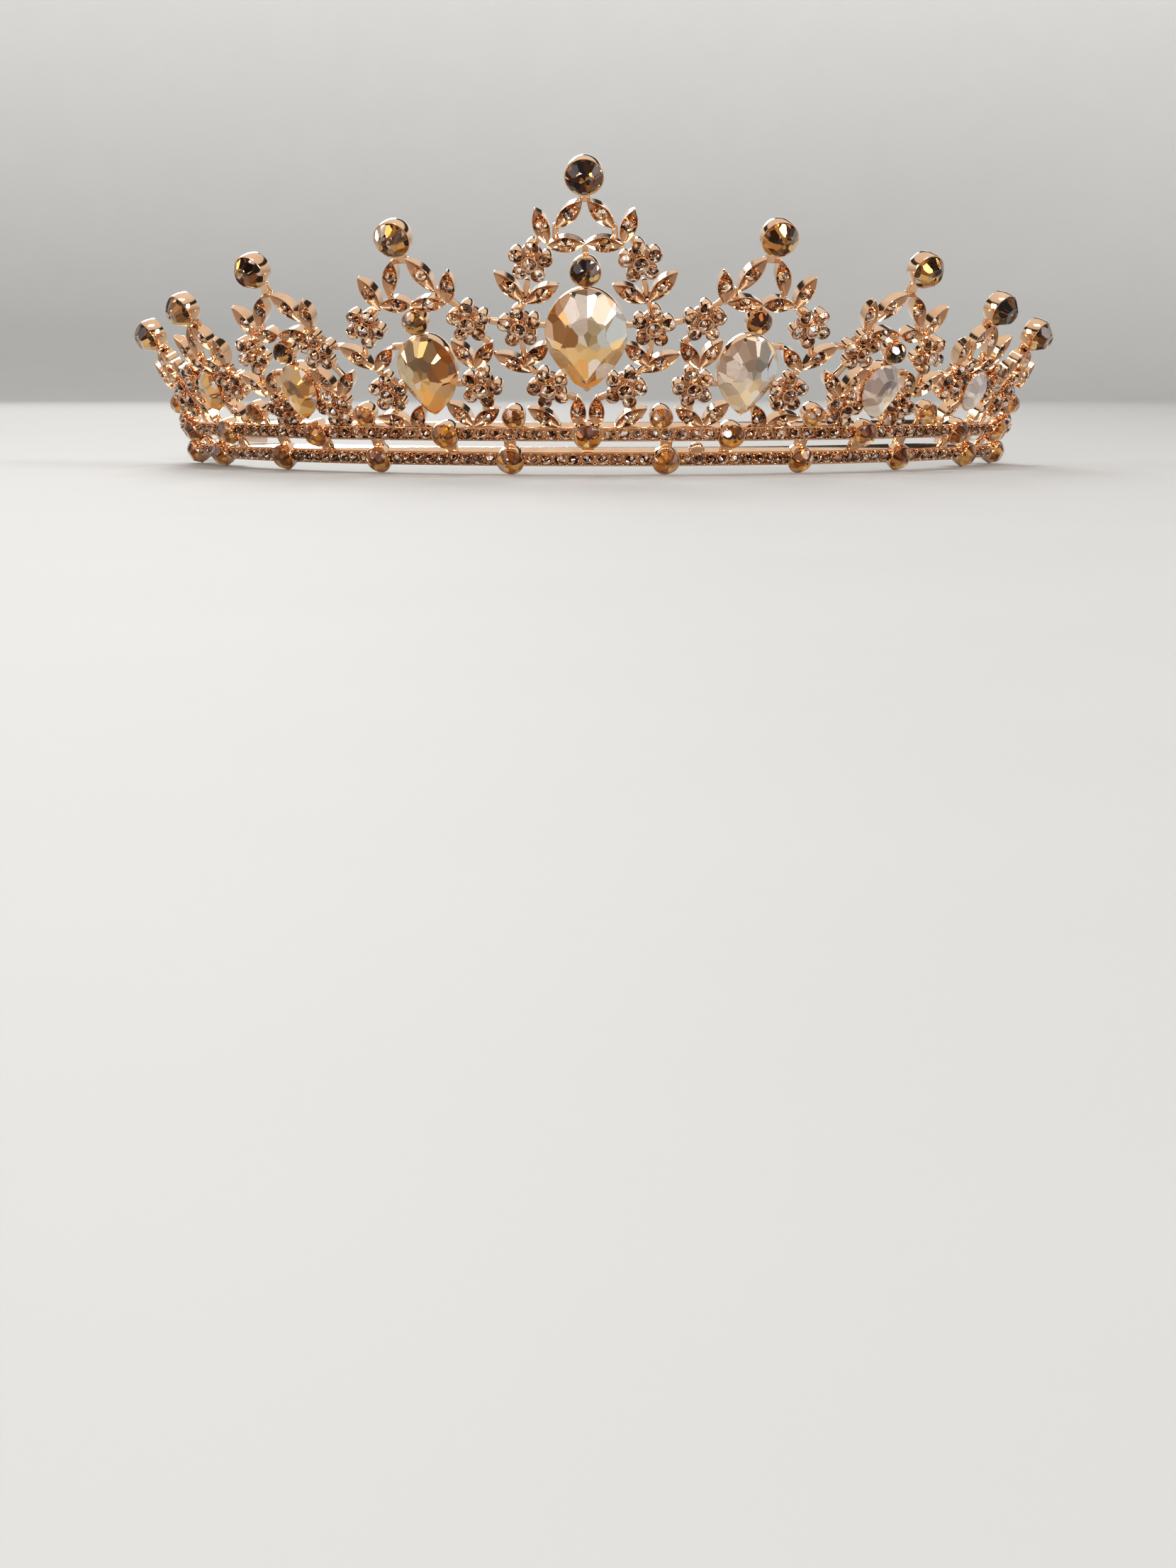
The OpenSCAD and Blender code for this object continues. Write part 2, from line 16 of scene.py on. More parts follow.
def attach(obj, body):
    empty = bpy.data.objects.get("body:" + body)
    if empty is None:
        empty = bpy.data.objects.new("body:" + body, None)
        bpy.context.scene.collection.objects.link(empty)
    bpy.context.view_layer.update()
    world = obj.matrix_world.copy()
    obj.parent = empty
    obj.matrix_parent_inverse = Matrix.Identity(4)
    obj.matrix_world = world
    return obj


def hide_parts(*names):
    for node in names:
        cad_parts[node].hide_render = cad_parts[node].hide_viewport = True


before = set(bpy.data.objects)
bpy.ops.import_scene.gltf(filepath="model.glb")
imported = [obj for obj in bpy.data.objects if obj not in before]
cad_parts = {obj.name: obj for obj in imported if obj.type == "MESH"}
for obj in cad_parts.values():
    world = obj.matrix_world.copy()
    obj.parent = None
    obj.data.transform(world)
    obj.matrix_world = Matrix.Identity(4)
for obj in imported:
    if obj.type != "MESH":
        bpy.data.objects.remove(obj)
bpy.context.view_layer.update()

# %% [markdown]
# The crown has the same driving sizes as its solids. A motif is one peak of the crown with all that
# stands under it: `out` is a distance along the wall away from the motif's foot and `up` is a height
# along the wall, so both can be measured on the flat and still fit the curve.

# %% Sizes of the crown
HEAD_R = 77.0
FLARE = 30.0
BAND_END = 94.5
BAND_W = 2.6
BAND_PITCH = 4.7
BAND_BACK, BAND_FRONT = -0.8, 1.0
CHANNEL_DEPTH = 0.5
RIM_W = 0.3
CUP_WALL = 0.3
CUP_BACK = -0.5
BAND_CUP_FRONT = 1.9
SPACER_CUP_FRONT = 1.8
BEAD_CUP_FRONT = 1.8
FINIAL_CUP_FRONT = 2.1
PEAR_BACK, PEAR_FRONT = -0.7, 1.7
LEAF_W = 2.6
LEAF_BACK, LEAF_FRONT = -0.8, 1.2
FLOWER_BACK, FLOWER_FRONT, BOSS_FRONT = -0.6, 1.4, 2.1
PETAL_RING, PETAL_D = 2.4, 2.35
BAND_STONE_D, SPACER_STONE_D, FLOWER_STONE_D = 4.0, 3.3, 2.0
WIRE_H, WIRE_T, WIRE_R = 1.6, 0.9, 74.8
LUG_ALONG, CLIP_ALONG = 78.0, 92.8
WIRE_START, WIRE_END_ANGLE = 75.0, 112.0
POST_W, POST_T = 2.0, 1.1
BAR_W, BAR_T = 1.0, 0.8
NECK_W, NECK_T = 1.7, 1.12
# Cut stones: share of the width that the table takes, main facets, and the top stones' height over
# their cups as a share of their diameter
TABLE_SHARE = 0.55
MAIN_FACETS = 8
TOP_STONE_RISE = 0.33
print("bands", BAND_W, "mm high and", BAND_PITCH, "mm apart, round a head of", 2 * HEAD_R, "mm")

# %% [markdown]
# The ornaments repeat on both halves, so each kind is one short table for the right half, with a
# named column for each measure. Places read off a photograph are easier to give on the flat wall
# than in space, and a row can be moved later without touching the others.

# %% Places of the ornaments
# Motifs: place on the lower band, [out, up] of the top stone, its diameter
MOTIFS = [
    (0, (0, 49.6), 5.4), (22.5, (1.4, 39.7), 5.4), (46.5, (-0.5, 34.8), 5.2),
    (69.6, (-6.2, 28.3), 5.2), (84.9, (-6.6, 23.7), 5.1),
]
# Pears: motif, out, up, width, length, tilt
PEARS = [(0, 0, 22, 12.4, 17.4, 0), (1, 0.5, 15.8, 9.5, 13.7, 2), (2, -0.5, 12.8, 6.7, 9.6, 7),
         (3, -2.2, 12.8, 4.9, 7.2, 12)]
# Round stones over the pears: motif, out, up, diameter
BEADS = [(0, 0, 33.8, 4.4), (1, 0.85, 25.25, 3.8), (2, -0.3, 20, 3.4)]
# Flowers: motif, out, up, turn
FLOWERS = [
    (0, 8.4, 35.3, 28), (0, 10.4, 24.1, 14), (0, 6, 13.2, 0),
    (1, -7.7, 25, 18), (1, 10.1, 24.1, 54), (1, -7.6, 13.3, 36), (1, 8.4, 12.3, 20),
    (2, -6.9, 20, 22), (2, 7.9, 19.3, 54), (2, -5.9, 9.2, 6), (2, 5.8, 8.9, 10),
    (3, -8.3, 14.1, 20), (3, 3.75, 14.5, 40), (4, -5.3, 10.9, 36),
]
# Single small cups at each end: motif, out, up
LONE_CUPS = [(4, 4.2, 9.3), (4, 3.85, 6.6)]
# Leaves: motif, out, up, angle, length
LEAVES = [
    (0, 2.45, 43.1, -47, 5.9), (0, 6.55, 41.1, 74, 5.8), (0, 2.95, 38.15, -3, 5.6),
    (0, 6.8, 29.8, -29, 6), (0, 11.75, 31, 51, 6.4), (0, 7.9, 19.2, -42, 5.6),
    (0, 11.5, 17.8, 29, 6.6), (0, 1.45, 8.8, 90, 5.8), (0, 6.8, 7.8, 35, 6),
    (1, 3.6, 32.7, -71, 6.3), (1, -1.6, 33.1, 56, 6.6), (1, -5.5, 31, 99, 5.6),
    (1, 7.8, 30, 67, 6), (1, 3.7, 28.1, -1, 5.2), (1, -1.7, 28.2, -3, 5.9),
    (1, -5.8, 19.3, 58, 5.7), (1, -9.1, 19.2, -53, 5.6), (1, 8, 18.4, -45, 5.5),
    (1, 12.9, 18.8, 39, 6.5), (1, -3.2, 8.4, 48, 5.7), (1, -7.4, 7.9, -33, 5.5),
    (1, 4.3, 7.5, -65, 5.6), (1, 8.6, 7.2, 12, 5.8),
    (2, 1.8, 27.2, -55, 6.6), (2, -4, 27.9, 48, 6.4), (2, -7.5, 26.2, 97, 5.7),
    (2, 6.5, 25.4, 68, 6), (2, 2.3, 22.9, -4, 4.8), (2, -3.3, 22.9, -2, 6.2),
    (2, -5.7, 14.3, 54, 6), (2, -9.9, 13.9, -46, 6.2), (2, 6, 13.9, -58, 5.2),
    (2, 10.7, 13.7, 43, 6.2),
    (3, -3.2, 21.9, -66, 6.3), (3, -6.8, 22.7, 58, 5.2), (3, -9.7, 19.7, 99, 5.6),
    (3, 1.35, 20.4, 73, 5.5), (3, -0.8, 17.6, 0, 4.2), (3, -5.3, 17.4, 7, 5),
    (3, -4.9, 8.5, 55, 5.7), (3, 5.9, 8.9, 58, 6),
    (4, -3.3, 18, -58, 5.2), (4, -6.8, 18.5, 60, 4.8), (4, -9.2, 15.9, 98, 5.2),
    (4, 1.2, 15.6, 85, 4.8), (4, -3.4, 15.1, 0, 4.8),
]
# Necks that carry the top stones: motif, from (out, up), to (out, up)
NECKS = [(0, (0, 46.9), (0, 44.7)), (1, (1.4, 37.2), (1.3, 35.2)), (2, (-0.5, 32), (-0.6, 30)),
         (3, (-6.2, 25.9), (-5.6, 24)), (4, (-6.6, 21.4), (-5.3, 20.2))]
# Bars between neighbours: motif, from (out, up), to (out, up)
BARS = [
    (0, (4.4, 41.2), (4.6, 38.3)), (0, (0, 38.3), (0, 35.5)), (0, (8.3, 37), (6.4, 39.5)),
    (0, (9.6, 28.4), (10.2, 26)), (0, (8.9, 32), (9.5, 28.6)), (0, (6.2, 24), (8.4, 24.1)),
    (0, (10.2, 21.7), (9.9, 18)), (0, (7.6, 15), (9.4, 17)), (0, (4.2, 12), (1.9, 10.9)),
    (0, (6.9, 11), (7.4, 8.3)), (0, (0, 31.6), (0, 30)),
    (1, (0, 35.3), (2.6, 35.3)), (1, (4.6, 30), (4.8, 28.2)),
    (1, (-3.2, 30.6), (-3.6, 28.4)), (1, (1, 28.2), (0.9, 27)), (1, (0.85, 23.6), (0.6, 22)),
    (1, (-5.1, 28.4), (-6.6, 27)), (1, (6.2, 28), (8.6, 26.4)), (1, (-10.7, 24.7), (-15.4, 24.3)),
    (1, (-8.5, 22.4), (-10.3, 21)), (1, (-7.4, 17.4), (-7.5, 16)), (1, (-4.9, 13.6), (-2.3, 13.6)),
    (1, (-7.5, 10.6), (-7.2, 8.2)), (1, (-1.6, 10.3), (0.1, 10.3)), (1, (3.2, 9.8), (0.8, 10)),
    (1, (8.6, 7.2), (8.6, 5.5)), (1, (8.5, 9.6), (8.6, 7.4)), (1, (10.2, 16.6), (9.4, 15)),
    (1, (4.4, 20.3), (6.4, 20.2)), (1, (10.9, 21.4), (11.8, 18.4)), (1, (15, 20.4), (18, 20.2)),
    (2, (-1.8, 29.9), (0.4, 29.9)), (2, (3.6, 24.8), (4, 22.9)),
    (2, (4.2, 22.8), (5.8, 23)), (2, (-6.1, 25.7), (-5.9, 23)), (2, (-0.3, 22.9), (-0.2, 21.4)),
    (2, (-0.2, 18.6), (-0.5, 17)), (2, (-6.9, 22), (-7.2, 23.6)), (2, (7.4, 22.4), (6.4, 22.8)),
    (2, (-7.8, 17.4), (-9.6, 14.5)), (2, (-5.8, 12), (-7, 12.6)), (2, (6, 11.6), (7.4, 12)),
    (2, (2.2, 15.5), (4.8, 15.6)), (2, (8.5, 16.8), (9.2, 13.3)), (2, (12.8, 15.6), (16.5, 14.4)),
    (3, (-2.4, 19.8), (-1.8, 17.6)), (3, (-6.2, 21.2), (-5.7, 17.4)),
    (3, (-8.3, 17.4), (-8.2, 15.8)), (3, (1.2, 17.8), (1.6, 16.4)), (3, (-2.9, 17.6), (-2.8, 16)),
    (3, (-7.2, 11.8), (-6.2, 10)), (3, (4.6, 12.6), (5.4, 10.4)), (3, (-3.8, 11.4), (-3.4, 12.2)),
    (3, (-6.2, 6.8), (-6.2, 5.2)), (3, (4.6, 7.2), (4.6, 5.2)),
    (4, (-2.2, 16.8), (-2.8, 15.1)), (4, (-7.6, 16.8), (-5, 15.1)),
    (4, (-8.8, 13.6), (-7.4, 12.2)), (4, (1.1, 13.8), (0.5, 11.2)), (4, (-3.4, 15.1), (-4.4, 12.8)),
    (4, (-2.6, 10.7), (-1.2, 10.2)),
    (4, (1.5, 9.7), (3.4, 9.4)), (4, (4.2, 9.3), (3.85, 6.6)), (4, (-5.3, 8.6), (-5.3, 5.4)),
]
UPPER_STONES = [motif[0] for motif in MOTIFS]
LOWER_STONES = [12.5, 35.6, 56.5, 77, 92.2]
SPACER_STONES = [(11.1, 8.1), (35.6, 8.3), (58.7, 8.5), (85, 9.9)]
# The one boss that stands over the lower band's rim: place on the band, up, diameter, front
LONE_BOSS = (17.6, 1.3, 2.6, 0.8)
print("leaves", len(LEAVES), "flowers", len(FLOWERS), "bars", len(BARS), "on each side")

# %% [markdown]
# The wall is a cone that leans out by 30 degrees. One matrix puts a piece on it: the piece is turned
# to face out of the wall, moved to its height and radius, and turned round the head. The left half
# mirrors the right one, and a mirrored mesh has its faces turned back to point outwards.

# %% Placing on the wall
MM = 0.001
LEAN = math.radians(FLARE)


def wall_r(up, off=0.0):
    """Distance from the crown's axis at a height up the wall and a distance out of it."""
    return HEAD_R + up * math.sin(LEAN) + off * math.cos(LEAN)


def wall_z(up, off=0.0):
    """Height of such a point over the base circle."""
    return up * math.cos(LEAN) - off * math.sin(LEAN)


def on_wall(along, up, off=0.0, turn=0.0):
    """Matrix with x along the wall, y up it and z out of it, in millimetres about the crown's axis."""
    return (
        Matrix.Rotation(along / HEAD_R, 4, "Z")
        @ Matrix.Translation((0, -wall_r(up, off), wall_z(up, off)))
        @ Matrix.Rotation(math.radians(90) + LEAN, 4, "X")
        @ Matrix.Rotation(math.radians(turn), 4, "Z")
    )


def on_motif(m, out, up, off=0.0, turn=0.0):
    """The same at a point of a motif."""
    return on_wall(MOTIFS[m][0] + out * HEAD_R / wall_r(up), up, off, turn)


# The crown rests on the lower edges of its cups, with its origin under the middle of its length
LIFT = -wall_z(-(BAND_STONE_D / 2 + CUP_WALL), BAND_CUP_FRONT)
FRONT_D = MOTIFS[0][2]
FRONT_TABLE_R = FRONT_D / 2 * math.cos(math.pi / (2 * MAIN_FACETS)) * TABLE_SHARE
FRONT_Y = -wall_r(MOTIFS[0][1][1] + FRONT_TABLE_R, FINIAL_CUP_FRONT + FRONT_D * TOP_STONE_RISE)
BACK_Y = -(WIRE_R + WIRE_T / 2) * math.cos(math.radians(WIRE_END_ANGLE))
TO_FRAME = Matrix.Scale(MM, 4) @ Matrix.Translation((0, -(FRONT_Y + BACK_Y) / 2, LIFT))
MIRROR = Matrix.Scale(-1, 4, (1, 0, 0))
RIGHT = Matrix.Identity(4)
HALVES = {"left": MIRROR, "right": RIGHT}


# Stands for any place that isn't 0, the middle of the front
BOTH = 1


def sides(place):
    """The matrices of the halves that hold a thing: only one for a thing in the middle of the front."""
    return [RIGHT] if place == 0 else [MIRROR, RIGHT]


print("lift", round(LIFT, 3), "axis at", round(-(FRONT_Y + BACK_Y) / 2, 3))

# %% [markdown]
# The helpers below do what a hand does in Blender: name a new primitive and open it in edit mode,
# select its vertices or faces by where they are, close it again, copy it and join copies. An
# operator acts on whatever is selected, so each helper leaves exactly one clear selection behind.

# %% Modelling helpers
def fresh():
    """Deselect everything, so that the next primitive is alone."""
    bpy.ops.object.select_all(action="DESELECT")


def begin(name):
    """Name the new primitive, settle its place into its mesh and open it in edit mode."""
    piece = bpy.context.object
    piece.name = piece.data.name = name
    bpy.ops.object.transform_apply(location=True, rotation=True, scale=True)
    bpy.ops.object.mode_set(mode="EDIT")
    return piece


MODES = {"verts": "VERT", "faces": "FACE"}
# Vertices that are this near to a plane, in millimetres, lie in it
NEAR = 0.001


def pick(kind, test):
    """Select the vertices or faces whose middle passes the test, and nothing else."""
    bpy.ops.mesh.select_mode(type=MODES[kind])
    bpy.ops.mesh.select_all(action="DESELECT")
    form = bmesh.from_edit_mesh(bpy.context.object.data)
    for part in getattr(form, kind):
        corners = [part] if kind == "verts" else part.verts
        middle = sum((v.co for v in corners), Vector()) / len(corners)
        if test(middle, part):
            part.select_set(True)
    form.select_flush_mode()
    bmesh.update_edit_mesh(bpy.context.object.data)


def scale_picked(x, y, z, centre=(0, 0, 0)):
    """Scale the selection about a point."""
    bpy.ops.transform.resize(value=(x, y, z), center_override=centre)


def move_picked(x, y, z):
    """Move the selection."""
    bpy.ops.transform.translate(value=(x, y, z))


def extrude_picked(x, y, z):
    """Extrude the selected faces or edges, and move what is new."""
    bpy.ops.mesh.extrude_region_move(TRANSFORM_OT_translate={"value": (x, y, z)})


def cut_across(co, no, **options):
    """Cut the whole mesh with a plane, which adds a loop of edges there."""
    bpy.ops.mesh.select_mode(type="FACE")
    bpy.ops.mesh.select_all(action="SELECT")
    bpy.ops.mesh.bisect(plane_co=co, plane_no=no, **options)


def close(piece, material=None, smooth=40.0, bevel=0.0, segments=1):
    """Leave edit mode, round the edges, shade the piece smooth up to an angle and give it a material."""
    bpy.ops.mesh.select_all(action="SELECT")
    bpy.ops.mesh.remove_doubles(threshold=0.0005)
    bpy.ops.mesh.normals_make_consistent(inside=False)
    bpy.ops.object.mode_set(mode="OBJECT")
    if bevel:
        rounding = piece.modifiers.new("rounding", "BEVEL")
        rounding.width = bevel
        rounding.segments = segments
        rounding.limit_method = "ANGLE"
        rounding.angle_limit = math.radians(35)
        bpy.ops.object.modifier_apply(modifier=rounding.name)
    bpy.ops.object.shade_smooth_by_angle(angle=math.radians(smooth))
    if material:
        piece.data.materials.append(material)
    return piece


def copy_at(template, place):
    """A copy of a finished piece with its own mesh, put in its place."""
    piece = template.copy()
    piece.data = template.data.copy()
    piece.data.transform(place)
    if place.determinant() < 0:
        piece.data.flip_normals()
    bpy.context.collection.objects.link(piece)
    return piece


def turned(name, steps, radius, low, high):
    """A round blank along z, left in edit mode."""
    fresh()
    bpy.ops.mesh.primitive_cylinder_add(vertices=steps, radius=radius, depth=high - low,
                                        location=(0, 0, (low + high) / 2))
    return begin(name)


def fuse(name, parts):
    """Join parts into one piece."""
    fresh()
    for part in parts:
        part.select_set(True)
    bpy.context.view_layer.objects.active = parts[0]
    if len(parts) > 1:
        bpy.ops.object.join()
    piece = bpy.context.object
    piece.name = piece.data.name = name
    return piece


def discard(*templates):
    """Remove the bench copies once everything is made from them."""
    for template in templates:
        bpy.data.objects.remove(template)


# %% [markdown]
# Shader maths reads best as sums. This small class wraps a socket, so that `1 - mask` or
# `height * 0.4` adds the Math nodes by itself. Its other methods add the few nodes that the
# materials below share.

# %% Sums of sockets
# Places of two outputs of the Texture Coordinate node
GENERATED, OBJECT = 0, 3


class Wire:
    """A socket of a material that can be used in sums like a number."""

    def __init__(self, tree, socket=None):
        self.tree = tree
        self.socket = socket

    def node(self, kind, values=None, settings=None, out=0):
        """Add a node with values or links for its sockets, and with its own settings."""
        made = self.tree.nodes.new(kind)
        for key, value in (settings or {}).items():
            setattr(made, key, value)
        self.feed(made, values or {})
        return Wire(self.tree, made.outputs[out])

    def feed(self, node, values):
        """Give a node's inputs plain values or other wires."""
        for key, value in values.items():
            if isinstance(value, Wire):
                self.tree.links.new(value.socket, node.inputs[key])
            else:
                node.inputs[key].default_value = value

    def math(self, operation, *values):
        """The result of a Math node."""
        return self.node("ShaderNodeMath", dict(enumerate(values)), {"operation": operation})

    def __add__(self, other):
        return self.math("ADD", self, other)

    def __radd__(self, other):
        return self.math("ADD", other, self)

    def __sub__(self, other):
        return self.math("SUBTRACT", self, other)

    def __rsub__(self, other):
        return self.math("SUBTRACT", other, self)

    def __mul__(self, other):
        return self.math("MULTIPLY", self, other)

    def __rmul__(self, other):
        return self.math("MULTIPLY", other, self)

    def __truediv__(self, other):
        return self.math("DIVIDE", self, other)

    def rise(self, start, end, most=1.0):
        """A share that grows from 0 where this socket is at start to its most where it is at end."""
        return self.node("ShaderNodeMapRange", {0: self, 1: start, 2: end, 4: most})

    def mix(self, first, second, blend="MIX"):
        """Blend two colours, with this socket as the share of the second."""
        settings = {"data_type": "RGBA", "blend_type": blend}
        return self.node("ShaderNodeMix", {0: self, 6: first, 7: second}, settings, out=2)

    def ramp(self, stops):
        """The colour of a ramp at this share, with its stops given as (place, colour)."""
        made = self.node("ShaderNodeValToRGB", {0: self})
        elements = made.socket.node.color_ramp.elements
        while len(elements) < len(stops):
            elements.new(1.0)
        for element, (place, colour) in zip(elements, stops):
            element.position = place
            element.color = (*colour, 1.0)
        return made

    def noise(self, scale, detail):
        """A cloudy noise that is fixed to the piece."""
        place = self.node("ShaderNodeTexCoord", out=OBJECT)
        return self.node("ShaderNodeTexNoise", {"Vector": place, "Scale": scale, "Detail": detail})

    def height(self, kind):
        """The height of a point in one kind of texture coordinates."""
        return self.node("ShaderNodeSeparateXYZ", {0: self.node("ShaderNodeTexCoord", out=kind)}, out=2)


def new_material(name):
    """A material with its Principled shader, and a wire to start sums from."""
    material = bpy.data.materials.new(name)
    material.use_nodes = True
    shader = material.node_tree.nodes["Principled BSDF"]
    return material, shader, Wire(material.node_tree)


# %% [markdown]
# The metal is cast, polished and plated in a light rose gold. Real plating is never one even
# mirror: the polish is a little milky in places and the surface waves slightly, which breaks up
# reflections. Two noises on Object coordinates do this, one for the roughness and for a drift to a
# deeper tint, and one as a very shallow bump. Costume pieces are lacquered, and a clear coat adds
# what the lacquer does: highlights as white as the lamps, which tinted metal alone would turn gold.

# %% Polished rose gold
CLOUD_SCALE = 260.0
CAST_GRAIN, DRAWN_GRAIN = 900.0, 1500.0


def plated_metal(name, tint, deep, roughness, grain=CAST_GRAIN):
    """Plating that drifts from a tint to a deeper one, under a clear lacquer."""
    material, shader, wire = new_material(name)
    cloud = wire.noise(CLOUD_SCALE, 3.0)
    fine = wire.noise(grain, 2.0)
    bump = wire.node("ShaderNodeBump", {"Strength": 0.5, "Distance": 0.00003, "Height": fine})
    wire.feed(shader, {
        "Base Color": cloud.mix((*tint, 1), (*deep, 1)), "Roughness": roughness + 0.1 * cloud,
        "Metallic": 1.0, "Coat Weight": 1.0, "Coat IOR": 1.7, "Coat Roughness": 0.03, "Normal": bump,
    })
    return material


crown_metal = plated_metal("crown_metal", (0.95, 0.65, 0.42), (0.58, 0.30, 0.12), 0.03)
# A darker copy of the metal for the flower cores, painted shade between the petals
core_painted_shade_metal = plated_metal("crown_metal_painted_shade", (0.46, 0.20, 0.07), (0.30, 0.11, 0.035), 0.05)
# A darker copy of the metal for the leaves' dish facets, a painted reflection of the dark stone between
# them
dish_painted_reflection_metal = plated_metal("leaf_dish_painted_reflection", (0.72, 0.38, 0.17), (0.28, 0.11, 0.035), 0.04)
wire_metal = plated_metal("wire_metal", (0.90, 0.66, 0.49), (0.80, 0.54, 0.37), 0.14, DRAWN_GRAIN)
print("metals", crown_metal.name, core_painted_shade_metal.name, dish_painted_reflection_metal.name, wire_metal.name)

# %% [markdown]
# A rhinestone is cut glass with a foil behind it. Two things make its look: the polished top
# reflects the room in its few flat facets, and the foil shows the cone of facets behind as bright
# and dark wedges. The top is modelled. The wedges are drawn by the material, as a faceted funnel in
# the stone's own coordinates: its slope feeds the bump of a coloured mirror, and a clear coat over
# it keeps the true facets. The mirror's colour is partly painted light: each wedge has a tone of its
# own by chance, but the lower wedges are painted lighter, a few are painted glints and some parts
# of a stone carry painted reflections. Each stone carries its place and a number of its own as
# attributes: the number turns its wedges a little, and paints the pears on the right pale, like a
# window's reflection, and those on the left golden.

# %% Foil-backed glass
# The foil facets are never quite true to the stone: their turn in radians
OFF_TRUE = 0.35
# Depth of the funnel of foil facets as a share of the stone's half width
FOIL_SLOPE = 0.55
# Where the funnel has its middle, in shares of the stone's half width and length
CULET = (0.05, 0.08)
# Painted window light on the pears: a cool white for those on the right, a warm gold for those on the left
PAINTED_WINDOW_WHITE, PAINTED_WARM_GOLD = (0.88, 0.84, 0.88, 1), (1.0, 0.74, 0.44, 1)
# Rings of foil facets from the middle outwards: facets per main one, turn, steepness, depth, place
FOIL_RINGS = ((1, 0.0, 0.45, -0.15, 0.25), (1, 0.5, 1.0, 0.0, 0.6), (2, 0.0, 1.6, 0.4, 0.9))


def gem_glass(name, tones, middle, painted_lower_light, spread, glint, painted_light_patches=(), pale=0.0, coat=0.6):
    """Glass over a faceted foil. Tones run from dark to light; a facet has the middle tone, made
    lighter towards the foot by lean, which is painted light from below, and changed by chance up to
    half the spread. Glint is the share of odd bright facets, which are painted glints, and their
    colour. A patch is (u, v, reach, colour, strength), a painted reflection or painted light on one
    part of the stone. Pale is how far stones with a high number of their own are painted a cool
    white like a window's reflection, while those with a low one are painted golden."""
    material, shader, wire = new_material(name)
    place = wire.node("ShaderNodeAttribute", settings={"attribute_name": "facet_place"}, out=1)
    split = wire.node("ShaderNodeSeparateXYZ", {0: place})
    u, v, size = [Wire(wire.tree, split.socket.node.outputs[i]) for i in range(3)]
    u, v = u - CULET[0], v - CULET[1]
    tint = wire.node("ShaderNodeAttribute", settings={"attribute_name": "tint"}, out=2)

    def distance(a, b):
        return wire.math("SQRT", a * a + b * b)

    radius = distance(u, v)
    off_true = OFF_TRUE * (tint + 0.6)
    angle = wire.math("ARCTAN2", v, u) + off_true
    for k, (share, turn, steep, depth, middle_r) in enumerate(FOIL_RINGS):
        step = 2 * math.pi / (share * MAIN_FACETS)
        turned = (angle + turn * step + 4 * math.pi) / step
        index = wire.math("FLOOR", turned)
        level = radius * wire.math("COSINE", (turned - index - 0.5) * step) * steep - depth
        facing = (index + (0.5 - turn)) * step - off_true
        facet = [index + 40.0 * k]
        facet += [wire.math(operation, facing) * middle_r for operation in ("COSINE", "SINE")]
        if k == 0:
            height, found = level, facet
            continue
        outer = wire.math("GREATER_THAN", level, height)
        found = [old + outer * (new - old) for old, new in zip(found, facet)]
        height = wire.math("MAXIMUM", level, height)
    number, facet_u, facet_v = found

    def chance(salt):
        """A number from 0 to 1 for each facet of each stone."""
        seed = wire.node("ShaderNodeCombineXYZ", {0: number, 1: tint * 97.0, 2: salt})
        return wire.node("ShaderNodeTexWhiteNoise", {"Vector": seed}, {"noise_dimensions": "3D"})

    # A facet's tone: the glass's middle tone, changed by chance, and painted lighter towards the foot as
    # light from below
    colour = (middle - painted_lower_light * facet_v + (chance(0.0) - 0.5) * spread).ramp(tones)
    # Painted reflections and painted light, each kept to one part of the stone
    for patch_u, patch_v, reach, patch_colour, strength in painted_light_patches:
        away = distance(facet_u - patch_u, facet_v - patch_v) + (chance(patch_u) - 0.5) * 0.4
        colour = (away.rise(reach, reach * 0.4) * strength).mix(colour, (*patch_colour, 1))
    # Painted window light: stones with a high number are painted a cool white, those with a low one golden
    if pale:
        colour = tint.rise(0.5, 0.9, pale).mix(colour, PAINTED_WINDOW_WHITE)
        colour = tint.rise(0.55, 0.35).mix(colour, PAINTED_WARM_GOLD, "MULTIPLY")
    # Painted glints: a few facets, by chance, take a bright colour
    colour = wire.math("GREATER_THAN", chance(5.0), 1 - glint[0]).mix(colour, (*glint[1], 1))
    funnel = height * size * FOIL_SLOPE
    bump = wire.node("ShaderNodeBump", {"Strength": 1.0, "Distance": 1.0, "Height": funnel})
    wire.feed(shader, {
        "Base Color": colour, "Metallic": 1.0, "Roughness": 0.09, "Coat Weight": coat,
        "Coat IOR": 1.42, "Coat Roughness": 0.02, "Normal": bump,
    })
    return material


smoky_glass = gem_glass(
    "smoky_topaz_glass",
    [(0.0, (0.012, 0.004, 0.001)), (0.4, (0.085, 0.025, 0.006)),
     (0.65, (0.50, 0.19, 0.04)), (1.0, (1.0, 0.68, 0.26))],
    middle=0.31, painted_lower_light=0.28, spread=1.2, glint=(0.05, (0.80, 0.62, 0.50)),
    painted_light_patches=[(0.75, 0.3, 0.5, (0.42, 0.36, 0.35), 0.6)], coat=0.55,
)
amber_glass = gem_glass(
    "amber_glass",
    [(0.0, (0.09, 0.022, 0.006)), (0.35, (0.36, 0.10, 0.018)),
     (0.65, (0.86, 0.36, 0.06)), (1.0, (1.0, 0.72, 0.30))],
    middle=0.43, painted_lower_light=0.34, spread=0.9, glint=(0.07, (0.95, 0.68, 0.54)),
    painted_light_patches=[(0.6, 0.6, 0.5, (0.52, 0.30, 0.24), 0.6)],
)
